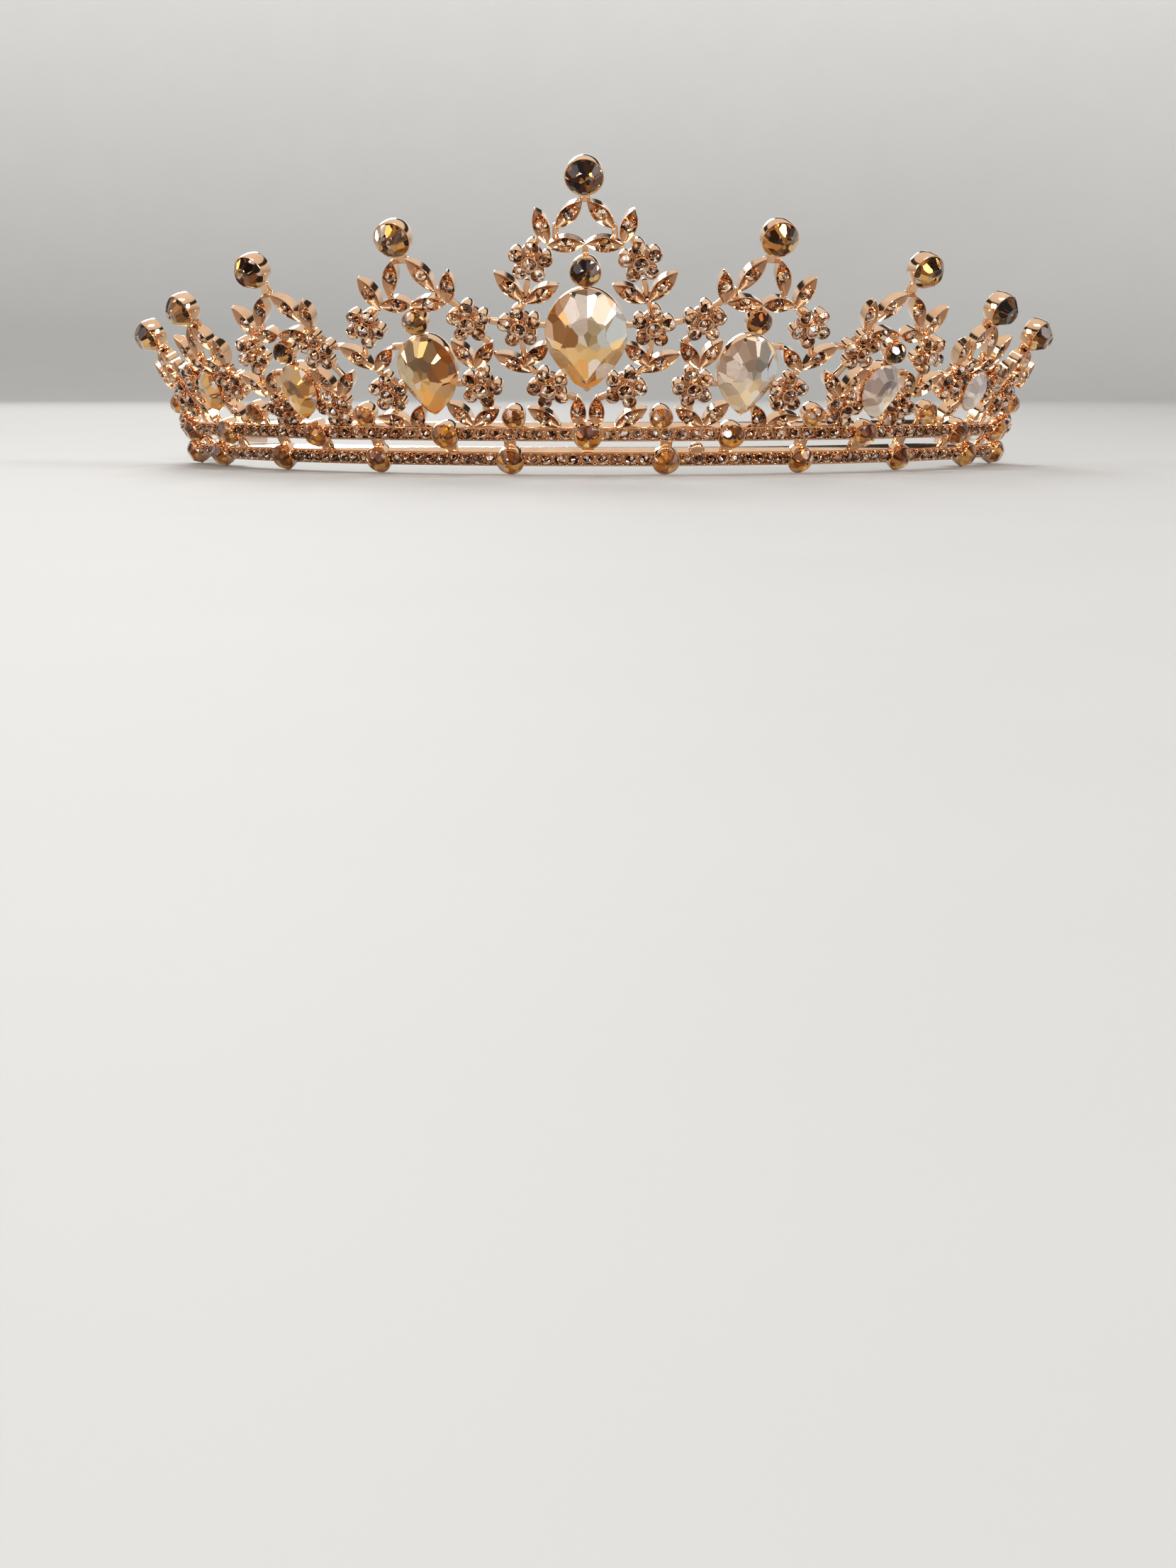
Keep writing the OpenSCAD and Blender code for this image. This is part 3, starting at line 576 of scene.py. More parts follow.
champagne_glass = gem_glass(
    "champagne_glass",
    [(0.0, (0.16, 0.055, 0.012)), (0.25, (0.55, 0.25, 0.065)),
     (0.5, (1.0, 0.65, 0.26)), (1.0, (1.0, 0.90, 0.66))],
    middle=0.56, painted_lower_light=0.30, spread=1.0, glint=(0.10, (1.0, 0.84, 0.72)),
    painted_light_patches=[
        (0.0, 0.4, 0.6, (0.25, 0.22, 0.155), 0.9), (-0.65, 0.5, 0.5, (0.34, 0.12, 0.015), 0.9),
        (0.0, -0.3, 0.45, (1.0, 0.70, 0.30), 0.9), (0.1, 0.95, 0.4, (0.72, 0.58, 0.56), 0.7),
        (0.8, 0.1, 0.5, (0.80, 0.92, 1.0), 0.95), (-0.9, -0.1, 0.35, (1.0, 0.72, 0.58), 0.6),
        (0.0, -0.85, 0.3, (1.0, 0.45, 0.09), 0.9),
    ],
    pale=0.6, coat=0.75,
)
peach_glass = gem_glass(
    "peach_glass",
    [(0.0, (0.02, 0.004, 0.001)), (0.35, (0.17, 0.045, 0.012)),
     (0.65, (0.66, 0.27, 0.095)), (1.0, (1.0, 0.78, 0.55))],
    middle=0.38, painted_lower_light=0.34, spread=1.5, glint=(0.09, (1.0, 0.86, 0.80)), coat=0.3,
)
print("glasses", smoky_glass.name, amber_glass.name, champagne_glass.name, peach_glass.name)

# %% [markdown]
# A stone is cut the way a lapidary cuts one: a blank of the right outline is ground flat, one facet
# at a time. Bisect with a filled cut does that, with a plane that leans in from the girdle. Each
# tier of facets is a list of directions, the place where its planes pass and how steep they are.

# %% Cutting stones
# Height of a round stone's girdle over its cup, as a share of its radius
GIRDLE = 0.06
# How far a leaning facet bends what is seen through it towards the middle
BEND = 0.3


def grind(directions, support, inset, height, slope):
    """Cut one flat facet in each direction, through a point at a height inside the outline. The
    support says how far the outline reaches in a direction."""
    for angle in directions:
        out = Vector((math.cos(math.radians(angle)), math.sin(math.radians(angle)), 0))
        point = out * (support(out) - inset) + Vector((0, 0, height))
        facing = (out * slope + Vector((0, 0, 1))).normalized()
        cut_across(point, facing, use_fill=True, clear_outer=True)


def give_place(piece, half_width, half_length):
    """Store the stone's own coordinates for its material. Glass bends what is seen through a leaning
    facet towards the stone's middle, so each facet has its own shift."""
    data = piece.data
    places = []
    for face in data.polygons:
        bent_x, bent_y = BEND * face.normal.x, BEND * face.normal.y
        for corner in face.loop_indices:
            at = data.vertices[data.loops[corner].vertex_index].co
            places.append((at.x / half_width - bent_x, at.y / half_length - bent_y, half_width * MM))
    held = data.attributes.new("facet_place", "FLOAT_VECTOR", "CORNER")
    held.data.foreach_set("vector", np.ravel(places))
    data.attributes.new("tint", "FLOAT", "POINT")


def unit_circle(out):
    """A round blank of radius 1 reaches as far in each direction."""
    return 1.0


def cut_round(name, crown, fine, back, glass):
    """A round stone of radius 1, whose cup ends at height 0. A fine one has three tiers of facets."""
    stone = turned(name, 2 * MAIN_FACETS if fine else MAIN_FACETS, 1.0, back, crown + GIRDLE)
    step = 360 / MAIN_FACETS
    mains = [k * step for k in range(MAIN_FACETS)]
    between = [a + step / 2 for a in mains]
    slope = crown / (1 - TABLE_SHARE)
    if fine:
        lowest = [a + step / 4 + k * step / 2 for k in (0, 1) for a in mains]
        grind(lowest, unit_circle, inset=0.03, height=GIRDLE, slope=slope * 1.35)
        grind(mains, unit_circle, inset=0.05, height=GIRDLE + 0.02, slope=slope)
        grind(between, unit_circle, inset=0.34, height=GIRDLE + crown * 0.83, slope=slope * 0.5)
    else:
        grind(between, unit_circle, inset=0.09, height=GIRDLE, slope=slope)
    close(stone, glass, smooth=1.0)
    give_place(stone, 1.0, 1.0)
    return stone


# Steps of this share of a turn never repeat, so neighbours get numbers far apart
GOLDEN_SHARE = 0.6180339
# Held in a list, so that the function below can count on
stone_count = [0]


def set_stone(template, place, half_width, number=None):
    """Put a copy of a stone in its place, with a number of its own from 0 to 1."""
    stone = copy_at(template, place)
    stone_count[0] += 1
    number = number or (stone_count[0] * GOLDEN_SHARE) % 1.0
    stone.data.attributes["tint"].data.foreach_set("value", [number] * len(stone.data.vertices))
    if template.name.startswith("round"):
        held = stone.data.attributes["facet_place"].data
        places = np.empty(len(held) * 3, dtype=np.float32)
        held.foreach_get("vector", places)
        places = places.reshape(-1, 3)
        places[:, 2] = half_width * MM
        held.foreach_set("vector", places.ravel())
    return stone


CROWN, FINE_CROWN = 0.48, 0.60
smoky_template = cut_round("round_smoky", FINE_CROWN, True, -0.2, smoky_glass)
amber_template = cut_round("round_amber", CROWN, True, -0.27, amber_glass)
peach_template = cut_round("round_peach", CROWN, False, -0.2, peach_glass)
print("round stones", [len(t.data.polygons) for t in (smoky_template, amber_template, peach_template)])

# %% [markdown]
# The large stones are pears: a round head that is drawn out to a point. The outline starts as a
# circle. The half above is stretched to an ellipse, and below, each row of vertices is moved down
# and drawn in, so that the sides curve in to the point. The same blank serves the stone and the
# bezel that holds it.

# %% Pear blanks
# How far a pear reaches over the seat that is cut for it, on to the rim
OVERSIZE = 0.2
# How much longer a pear is for each millimetre of wall round it, because of its point
POINT_GAIN = 2.3
PEAR_CROWN, PEAR_GIRDLE, PEAR_STONE_BACK = 0.24, 0.15, -0.55
# How far down a pear is widest, as a share of its length
PEAR_WIDEST = 0.43
PEAR_STEPS = 36


def pear_blank(name, width, length, low, high):
    """A prism with the outline of a pear, left in edit mode."""
    radius = width / 2
    head = length * PEAR_WIDEST
    foot = length - head
    widest = length / 2 - head
    fresh()
    bpy.ops.mesh.primitive_circle_add(vertices=PEAR_STEPS, radius=radius, location=(0, widest, low),
                                      fill_type="NGON")
    blank = begin(name)
    pick("verts", lambda at, part: at.y > widest + NEAR)
    scale_picked(1, head / radius, 1, (0, widest, low))
    for k in range(PEAR_STEPS // 4, 0, -1):
        turn = 2 * math.pi * k / PEAR_STEPS
        row_y = widest - radius * math.sin(turn)
        pick("verts", lambda at, part: abs(at.y - row_y) < NEAR)
        scale_picked(math.cos(turn), 1, 1, (0, row_y, low))
        move_picked(0, (radius - foot) * math.sin(turn), 0)
    pick("faces", lambda at, part: True)
    extrude_picked(0, 0, high - low)
    return blank


def outline_support(piece):
    """A function that says how far the piece in edit mode reaches in a direction."""
    corners = [v.co.copy() for v in bmesh.from_edit_mesh(piece.data).verts]
    return lambda out: max(corner.dot(out) for corner in corners)


def cut_pear(name, width, length):
    """A pear stone that fills its bezel, with its girdle just over the rim."""
    width, length = width + 2 * OVERSIZE, length + POINT_GAIN * OVERSIZE
    crown = width * PEAR_CROWN
    stone = pear_blank(name, width, length, PEAR_STONE_BACK, PEAR_GIRDLE + crown)
    support = outline_support(stone)
    # Directions of the facets in degrees: round the head, along the side and at the point
    side = -math.degrees(math.asin(width / 2 / (length - width / 2)))
    right = [90, 50, 12, side]
    mains = right + [180 - a for a in right[1:]] + [-90]
    between = [70, 31, (12 + side) / 2]
    between = between + [180 - a for a in between] + [side - 22, 202 - side]
    slope = crown / ((1 - TABLE_SHARE) * width / 2)
    grind(between, support, inset=0.01 * width, height=PEAR_GIRDLE, slope=slope * 1.5)
    grind(mains, support, inset=0.02 * width, height=PEAR_GIRDLE, slope=slope)
    grind(between, support, inset=0.185 * width, height=PEAR_GIRDLE + crown * 0.86, slope=slope * 0.45)
    close(stone, champagne_glass, smooth=1.0)
    give_place(stone, width / 2, length / 2)
    return stone


pear_stones = [cut_pear(f"pear_{i}", pear[3], pear[4]) for i, pear in enumerate(PEARS)]
print("pear stones", [len(t.data.polygons) for t in pear_stones])

# %% [markdown]
# A cup is a short tube with a rim round its stone. A cylinder is inset and pushed in at the top for
# the seat, drawn in at the foot and made a little slimmer at its waist, as polished tubes are.

# %% Cups
# How much of a cup's wall the edge of its stone covers
RIM_COVER = 0.08
# Height of a cup's waist as a share of its depth, and how narrow the waist is
WAIST, WAIST_SHARE = 0.45, 0.97


def make_cup(name, d, back, front, wall=CUP_WALL, steps=32, foot=0.86, seat=0.35, bevel=0.06):
    """A cup for a stone of diameter d, whose foot is a share of its width and whose seat is a depth."""
    cup = turned(name, steps, d / 2 + wall, back, front)
    low = back + (front - back) * WAIST
    cut_across((0, 0, low), (0, 0, 1))
    pick("verts", lambda at, part: at.z < back + NEAR)
    scale_picked(foot, foot, 1)
    pick("verts", lambda at, part: abs(at.z - low) < NEAR)
    scale_picked(WAIST_SHARE, WAIST_SHARE, 1)
    pick("faces", lambda at, part: at.z > front - NEAR)
    bpy.ops.mesh.inset(thickness=wall - RIM_COVER, depth=0)
    extrude_picked(0, 0, -seat)
    return close(cup, crown_metal, bevel=bevel, segments=2)


band_cup = make_cup("band_cup", BAND_STONE_D, CUP_BACK, BAND_CUP_FRONT)
spacer_cup = make_cup("spacer_cup", SPACER_STONE_D, CUP_BACK, SPACER_CUP_FRONT)
bead_cups = [make_cup("bead_cup", b[3], CUP_BACK, BEAD_CUP_FRONT) for b in BEADS]
finial_cups = [make_cup("finial_cup", m[2], CUP_BACK, FINIAL_CUP_FRONT) for m in MOTIFS]
print("cup faces", len(band_cup.data.polygons))

# %% [markdown]
# A leaf is a pointed boat. A box is cut into strips, each ring of vertices is drawn in by its share
# of the width, and the lower one is raised towards the tips, as the keel of a boat is. The top is
# extruded in place, shrunk and sunk to a crease down the middle, which gives the two sloping facets
# at each tip. They have a darker metal of their own, a painted reflection of the dark stone between
# them. A small cup in the middle holds the stone.

# %% Leaves
LEAF_LENGTH = 6.0
# Length by which a leaf runs over its neighbours
LEAF_REACH = 0.4
LEAF_RIM = 0.13
LEAF_STRIPS = 12
# Depth of the dish at its edge, and how much deeper the crease is in the middle
DISH_EDGE, CREASE_DEPTH = 0.12, 1.1
# How far the back of a leaf rises at its tips, and how much of the leaf's width the back has
KEEL_RISE, KEEL_SHARE = 1.3, 0.75
# Share of its width that a leaf keeps at its tips
TIP_SHARE = 0.05
LEAF_STONE_D = 1.9
LEAF_STONE_FRONT = LEAF_FRONT - 0.3


def make_leaf():
    """The leaf as long as most are, along x; the others are stretched from it."""
    half = (LEAF_LENGTH + LEAF_REACH) / 2
    fresh()
    bpy.ops.mesh.primitive_cube_add(size=1, location=(0, 0, (LEAF_BACK + LEAF_FRONT) / 2),
                                    scale=(2 * half, LEAF_W, LEAF_FRONT - LEAF_BACK))
    leaf = begin("leaf")
    stations = [2 * half * k / LEAF_STRIPS for k in range(1 - LEAF_STRIPS // 2, LEAF_STRIPS // 2)]
    for x in stations:
        cut_across((x, 0, 0), (1, 0, 0))
    cut_across((0, 0, 0), (0, 1, 0))
    for x in [-half] + stations + [half]:
        pick("verts", lambda at, part: abs(at.x - x) < NEAR)
        share = max(1 - (x / half) ** 2, TIP_SHARE)
        scale_picked(1, share, 1, (x, 0, 0))
    for x in [-half] + stations + [half]:
        pick("verts", lambda at, part: abs(at.x - x) < NEAR and at.z < LEAF_BACK + NEAR)
        move_picked(0, 0, KEEL_RISE * abs(x / half) ** 3)
        scale_picked(1, KEEL_SHARE, 1)
    pick("faces", lambda at, part: at.z > LEAF_FRONT - NEAR)
    extrude_picked(0, 0, 0)
    scale_picked(1 - LEAF_RIM / half, 1 - 2 * LEAF_RIM / LEAF_W, 1, (0, 0, LEAF_FRONT))
    extrude_picked(0, 0, -DISH_EDGE)
    dish = LEAF_FRONT - DISH_EDGE
    for x in stations:
        goal = x * (1 - LEAF_RIM / half)
        pick("verts", lambda at, part: Vector((at.x - goal, at.y, at.z - dish)).length < 10 * NEAR)
        move_picked(0, 0, -CREASE_DEPTH * (1 - abs(goal) / (half - LEAF_RIM)))
    bpy.ops.object.mode_set(mode="OBJECT")
    leaf.data.materials.append(crown_metal)
    leaf.data.materials.append(dish_painted_reflection_metal)
    bpy.ops.object.mode_set(mode="EDIT")
    # The dish facets take the darker second metal, a painted reflection of the dark stone between them
    pick("faces", lambda at, part: part.normal.z > 0.2 and LEAF_BACK < at.z < dish + NEAR)
    leaf.active_material_index = 1
    bpy.ops.object.material_slot_assign()
    return close(leaf, smooth=30, bevel=0.03)


leaf_body = make_leaf()
leaf_cup = make_cup("leaf_cup", LEAF_STONE_D, -0.1, LEAF_STONE_FRONT, wall=0.12, steps=14, foot=0.9,
                    seat=0.2, bevel=0.03)
print("leaf faces", len(leaf_body.data.polygons), "cup", len(leaf_cup.data.polygons))

# %% [markdown]
# A flower is five round petals and a raised middle, all cups for equal small stones. One petal is
# modelled, copied five times round the middle and joined on a plain core that fills the gaps. The
# core has a darker metal, painted shade between the petals.

# %% Flowers
PETALS = 5
CORE_R, CORE_BACK, CORE_FRONT = 2.3, -0.55, 0.95
petal_cup = make_cup("petal_cup", FLOWER_STONE_D, FLOWER_BACK, FLOWER_FRONT,
                     wall=(PETAL_D - FLOWER_STONE_D) / 2, steps=16, foot=0.9, seat=0.2, bevel=0.04)
boss_cup = make_cup("boss_cup", FLOWER_STONE_D, FLOWER_BACK, BOSS_FRONT,
                    wall=0.3, steps=16, foot=0.8, seat=0.2, bevel=0.04)


def make_core():
    """The plain disc behind the petals, in a darker metal that is painted shade between them."""
    core = turned("core", 4 * PETALS, CORE_R, CORE_BACK, CORE_FRONT)
    pick("faces", lambda at, part: abs(part.normal.z) > 0.9)
    bpy.ops.mesh.inset(thickness=0.5, depth=0.15)
    return close(core, core_painted_shade_metal, bevel=0.05)


flower_core = make_core()
PETAL_PLACES = [Matrix.Rotation(2 * math.pi * k / PETALS, 4, "Z") @ Matrix.Translation((PETAL_RING, 0, 0))
                for k in range(PETALS)]
flower_body = fuse("flower", [copy_at(petal_cup, place) for place in PETAL_PLACES]
                   + [copy_at(boss_cup, Matrix.Identity(4)), copy_at(flower_core, Matrix.Identity(4))])
print("flower faces", len(flower_body.data.polygons))

# %% [markdown]
# A bezel is the pear's blank, a little larger, with the seat pushed in and the walls drawn in at
# the back.

# %% Pear bezels
# Height of a bezel's waist over its back, the part of its wall that the stone covers, and the depth
# of its seat
BEZEL_WAIST, BEZEL_COVER, BEZEL_SEAT = 1.1, 0.15, 0.4
# Shares of its width and length that a bezel keeps at its back and at its waist
BACK_SHARES, WAIST_SHARES = (0.92, 0.93), (0.975, 0.98)


def make_bezel(name, width, length):
    """The setting of one pear."""
    wide, long = width + 2 * CUP_WALL, length + POINT_GAIN * CUP_WALL
    bezel = pear_blank(name, wide, long, PEAR_BACK, PEAR_FRONT)
    low = PEAR_BACK + BEZEL_WAIST
    cut_across((0, 0, low), (0, 0, 1))
    pick("verts", lambda at, part: at.z < PEAR_BACK + NEAR)
    scale_picked(*BACK_SHARES, 1)
    pick("verts", lambda at, part: abs(at.z - low) < NEAR)
    scale_picked(*WAIST_SHARES, 1)
    pick("faces", lambda at, part: at.z > PEAR_FRONT - NEAR)
    bpy.ops.mesh.inset(thickness=CUP_WALL - BEZEL_COVER, depth=0)
    extrude_picked(0, 0, -BEZEL_SEAT)
    return close(bezel, crown_metal, bevel=0.06, segments=2)


bezels = [make_bezel(f"bezel_{i}", pear[3], pear[4]) for i, pear in enumerate(PEARS)]
print("bezel faces", [len(b.data.polygons) for b in bezels])

# %% [markdown]
# The two bands are one channel section each, swept round the head. The section starts as a plane,
# which is cut where the channel begins and loses the face in it, and Spin sweeps it round the
# crown's axis.

# %% Bands
# Roundness of a band's outer edges, and steps of its sweep
BAND_EDGE = 0.08
BAND_STEPS = 110
# How far a post runs into both bands, and how much of its width and depth a block keeps at its waist
POST_ROOTS = 1.0
BLOCK_WAIST = (0.94, 0.92)


def make_band(name, up):
    """One band, swept round the head at a height up the wall."""
    fresh()
    bpy.ops.mesh.primitive_plane_add(size=1, location=((BAND_BACK + BAND_FRONT) / 2, 0, 0))
    band = bpy.context.object
    band.scale = (BAND_FRONT - BAND_BACK, BAND_W, 1)
    begin(name)
    inner = BAND_W / 2 - RIM_W
    floor = BAND_FRONT - CHANNEL_DEPTH
    for y in (-inner, inner):
        cut_across((0, y, 0), (0, 1, 0))
    cut_across((floor, 0, 0), (1, 0, 0))
    pick("faces", lambda at, part: at.x > floor and abs(at.y) < inner)
    bpy.ops.mesh.delete(type="FACE")
    pick("faces", lambda at, part: True)
    bpy.ops.mesh.dissolve_faces()
    pick("verts", lambda at, part: at.x < BAND_BACK + NEAR or at.x > BAND_FRONT - NEAR)
    bpy.ops.mesh.bevel(offset=BAND_EDGE, segments=2, affect="VERTICES")
    bpy.ops.object.mode_set(mode="OBJECT")
    band.data.transform(on_wall(-BAND_END, up) @ Matrix.Rotation(math.radians(-90), 4, "Y"))
    bpy.ops.object.mode_set(mode="EDIT")
    pick("faces", lambda at, part: True)
    bpy.ops.mesh.spin(steps=BAND_STEPS, angle=-2 * BAND_END / HEAD_R, center=(0, 0, 0), axis=(0, 0, 1))
    return close(band, crown_metal)


def box_piece(name, size, bevel):
    """A block with rounded edges that is a little slimmer in the middle of its length."""
    fresh()
    bpy.ops.mesh.primitive_cube_add(size=1, scale=size)
    block = begin(name)
    cut_across((0, 0, 0), (1, 0, 0))
    pick("verts", lambda at, part: abs(at.x) < NEAR)
    scale_picked(1, *BLOCK_WAIST)
    return close(block, crown_metal, bevel=bevel, segments=2)


def make_boss():
    """The one plain round boss on the lower band."""
    along, up, d, front = LONE_BOSS
    boss = turned("lone_boss", 24, d / 2, CUP_BACK, front)
    return close(boss, crown_metal, smooth=60, bevel=0.5, segments=5)


bands = [make_band("lower_band", 0), make_band("upper_band", BAND_PITCH)]
lone_boss = make_boss()
post = box_piece("post", (BAND_PITCH - BAND_W + POST_ROOTS, POST_W, POST_T), 0.1)
bar = box_piece("bar", (1.0, BAR_W, BAR_T), 0.2)
print("band faces", len(bands[0].data.polygons))

# %% [markdown]
# Between the larger cups each band carries a row of small stones. Each sits in a low cup of its
# own, and two beads of metal at each joint hold it down.

# %% Small settings in the bands
PAVE_D = 1.75
PAVE_FRONT = BAND_FRONT + 0.25
# A small stone takes at most this share of its place in the row
PAVE_SHARE = 0.86
# Low cups that are closer together than TIGHT are squeezed along the band, by the ratio of their
# pitch to CUP_PITCH
CUP_PITCH, TIGHT = 2.15, 2.1
# Number of small stones between neighbouring large ones, from the middle of the front outwards
UPPER_COUNTS = [8, 8, 8, 4, 3]
LOWER_COUNTS = [9, 9, 8, 8, 4]


def pave_places(stones, counts, first_across):
    """Places along a band of its small stones on one side, and their pitch."""
    cup_reach = BAND_STONE_D / 2 + CUP_WALL
    places = []
    starts = ([-stones[0]] if first_across else []) + list(stones)
    ends = starts[1:] + [BAND_END + cup_reach]
    for start, end, count in zip(starts, ends, counts):
        pitch = (end - start - 2 * cup_reach) / count
        for k in range(count):
            along = start + cup_reach + pitch * (k + 0.5)
            if along > -NEAR:
                places.append((along, pitch))
    return places


pave_cup = make_cup("pave_cup", PAVE_D, 0.2, PAVE_FRONT, wall=0.16, steps=12, foot=0.95,
                    seat=0.15, bevel=0.03)
# Place of the prongs on each side of a band's middle, their radius, and where they start and end
PRONG_OFF, PRONG_R, PRONG_BACK, PRONG_FRONT = 0.78, 0.16, 0.5, 1.4
# Height of the dome on a prong, and how narrow its top is
DOME_H, DOME_TOP = 0.1, 0.6
# Stones that are closer together than this share the prongs between them
PRONG_PITCH = 2.3


def make_prong():
    """A bead of metal on a short pin."""
    prong = turned("prong", 8, PRONG_R, PRONG_BACK, PRONG_FRONT)
    pick("faces", lambda at, part: at.z > PRONG_FRONT - NEAR)
    extrude_picked(0, 0, DOME_H)
    scale_picked(DOME_TOP, DOME_TOP, 1)
    return close(prong, crown_metal, smooth=60)


prong = make_prong()
pave_rows = [(0, pave_places(LOWER_STONES, LOWER_COUNTS, True)),
             (BAND_PITCH, pave_places(UPPER_STONES, UPPER_COUNTS, False))]
print("small stones on each side", [len(places) for up, places in pave_rows])

# %% [markdown]
# Now the parts of the casting come together. Every cup, leaf, flower and bar is copied to its place
# on both halves, and the copies are joined group by group, so that each group is one piece.

# %% Putting the casting together
def mates(template, place, where):
    """Copies of a template at one place of the wall, on each half that has it."""
    return [copy_at(template, TO_FRAME @ side @ where) for side in sides(place)]


cups = []
for along in LOWER_STONES:
    cups += mates(band_cup, along, on_wall(along, 0))
for along in UPPER_STONES:
    cups += mates(band_cup, along, on_wall(along, BAND_PITCH))
for along, up in SPACER_STONES:
    cups += mates(spacer_cup, along, on_wall(along, up))
for m, (place, (out, up), d) in enumerate(MOTIFS):
    cups += mates(finial_cups[m], m, on_motif(m, out, up))
for cup, (m, out, up, d) in zip(bead_cups, BEADS):
    cups += mates(cup, m, on_motif(m, out, up))
cup_piece = fuse("stone_cups", cups)

bezel_parts = []
for bezel, (m, out, up, width, length, tilt) in zip(bezels, PEARS):
    bezel_parts += mates(bezel, m, on_motif(m, out, up, 0, tilt))
bezel_piece = fuse("pear_bezels", bezel_parts)

leaf_parts = []
for m, out, up, angle, length in LEAVES:
    where = on_motif(m, out, up, 0, angle)
    stretch = Matrix.Scale((length + LEAF_REACH) / (LEAF_LENGTH + LEAF_REACH), 4, (1, 0, 0))
    leaf_parts += mates(leaf_body, BOTH, where @ stretch) + mates(leaf_cup, BOTH, where)
leaf_piece = fuse("leaf_settings", leaf_parts)

flower_parts = []
for m, out, up, turn in FLOWERS:
    flower_parts += mates(flower_body, BOTH, on_motif(m, out, up, 0, turn))
for m, out, up in LONE_CUPS:
    flower_parts += mates(petal_cup, BOTH, on_motif(m, out, up))
flower_piece = fuse("flower_settings", flower_parts)

pave_parts = []
for up, places in pave_rows:
    for along, pitch in places:
        squeeze = Matrix.Scale(pitch / CUP_PITCH if pitch < TIGHT else 1, 4, (1, 0, 0))
        pave_parts += mates(pave_cup, round(along, 2), on_wall(along, up) @ squeeze)
        for step in (0.5, -0.5) if pitch > PRONG_PITCH else (0.5,):
            joint = on_wall(along + step * pitch, up)
            for y in (PRONG_OFF, -PRONG_OFF):
                pave_parts += mates(prong, BOTH, joint @ Matrix.Translation((0, y, 0)))
pave_piece = fuse("small_settings", pave_parts)

band_parts = [copy_at(band, TO_FRAME) for band in bands]
band_parts.append(copy_at(lone_boss, TO_FRAME @ on_wall(*LONE_BOSS[:2])))
for along in LOWER_STONES + UPPER_STONES:
    band_parts += mates(post, along, on_wall(along, BAND_PITCH / 2, 0, 90))
for rows, width, thickness in ((BARS, BAR_W, BAR_T), (NECKS, NECK_W, NECK_T)):
    for m, a, b in rows:
        length = math.hypot(b[0] - a[0], b[1] - a[1])
        turn = math.degrees(math.atan2(b[1] - a[1], b[0] - a[0]))
        out, up = (a[0] + b[0]) / 2, (a[1] + b[1]) / 2
        size = Matrix.Diagonal((length, width / BAR_W, thickness / BAR_T, 1))
        place = 0 if m == a[0] == b[0] == 0 else BOTH
        band_parts += mates(bar, place, on_motif(m, out, up, 0, turn) @ size)
for along, up in SPACER_STONES:
    size = Matrix.Diagonal((up - BAND_PITCH, 1, 1, 1))
    band_parts += mates(bar, BOTH, on_wall(along, (up + BAND_PITCH) / 2, 0, 90) @ size)

# %% [markdown]
# Each side wire is a flat strip that follows the head from the last stones backwards. It runs
# through a rounded lug and a clip behind the lower band. The wire's section is a plane with rounded
# corners, which is spun round the same axis as the bands.

# %% Side wires and their holders
HOLDER = (3.0, 3.6, 2.8)
# How far a holder reaches inside its wire, and into the back of the band
HOLDER_IN, HOLDER_ROOT = 0.68, 0.3
WIRE_EDGE = 0.3
WIRE_STEPS = 48


def make_wire():
    """The side wire of the right half, about the crown's axis."""
    fresh()
    bpy.ops.mesh.primitive_plane_add(size=1)
    wire = bpy.context.object
    wire.scale = (WIRE_T, WIRE_H, 1)
    begin("side_wire")
    pick("verts", lambda at, part: True)
    bpy.ops.mesh.bevel(offset=WIRE_EDGE, segments=4, affect="VERTICES")
    bpy.ops.object.mode_set(mode="OBJECT")
    start = WIRE_START / HEAD_R
    upright = Matrix.Rotation(math.radians(90), 4, "X") @ Matrix.Rotation(math.radians(-90), 4, "Y")
    wire.data.transform(Matrix.Rotation(start, 4, "Z") @ Matrix.Translation((0, -WIRE_R, 0)) @ upright)
    bpy.ops.object.mode_set(mode="EDIT")
    pick("faces", lambda at, part: True)
    sweep = start - math.radians(WIRE_END_ANGLE)
    bpy.ops.mesh.spin(steps=WIRE_STEPS, angle=sweep, center=(0, 0, 0), axis=(0, 0, 1))
    return close(wire, wire_metal)


holder = box_piece("holder", HOLDER, 0.5)
inner, outer = WIRE_R - WIRE_T / 2 - HOLDER_IN, wall_r(0, BAND_BACK) + HOLDER_ROOT
size = Matrix.Diagonal((1, (outer - inner) / HOLDER[1], 1, 1))
for along in (LUG_ALONG, CLIP_ALONG):
    behind = Matrix.Rotation(along / HEAD_R, 4, "Z") @ Matrix.Translation((0, -(inner + outer) / 2, 0))
    band_parts += mates(holder, BOTH, behind @ size)
band_piece = fuse("bands_and_bars", band_parts)

wire = make_wire()
for name, side in HALVES.items():
    piece = copy_at(wire, TO_FRAME @ side)
    piece.name = piece.data.name = f"wire_{name}"
    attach(piece, "root")
    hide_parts(f"side_wire_{name}")

for piece in (cup_piece, bezel_piece, leaf_piece, flower_piece, pave_piece, band_piece):
    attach(piece, "root")
    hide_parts("frame")
    print(piece.name, "faces", len(piece.data.polygons))

# %% [markdown]
# The stones go in last, as on the bench. The large ones stay pieces of their own, each for the
# solid that it stands for. Each reaches a little over its seat, because a setter bends the rim over
# the edge of the stone, and from the front no gap shows.

# %% Setting the large stones
def row(count, shared=1):
    """Half and table row of each stone from left to right, where the first rows stand in the middle
    of the front, so that both halves share their stones."""
    left = [(MIRROR, k) for k in reversed(range(shared, count))]
    return left + [(RIGHT, k) for k in range(count)]


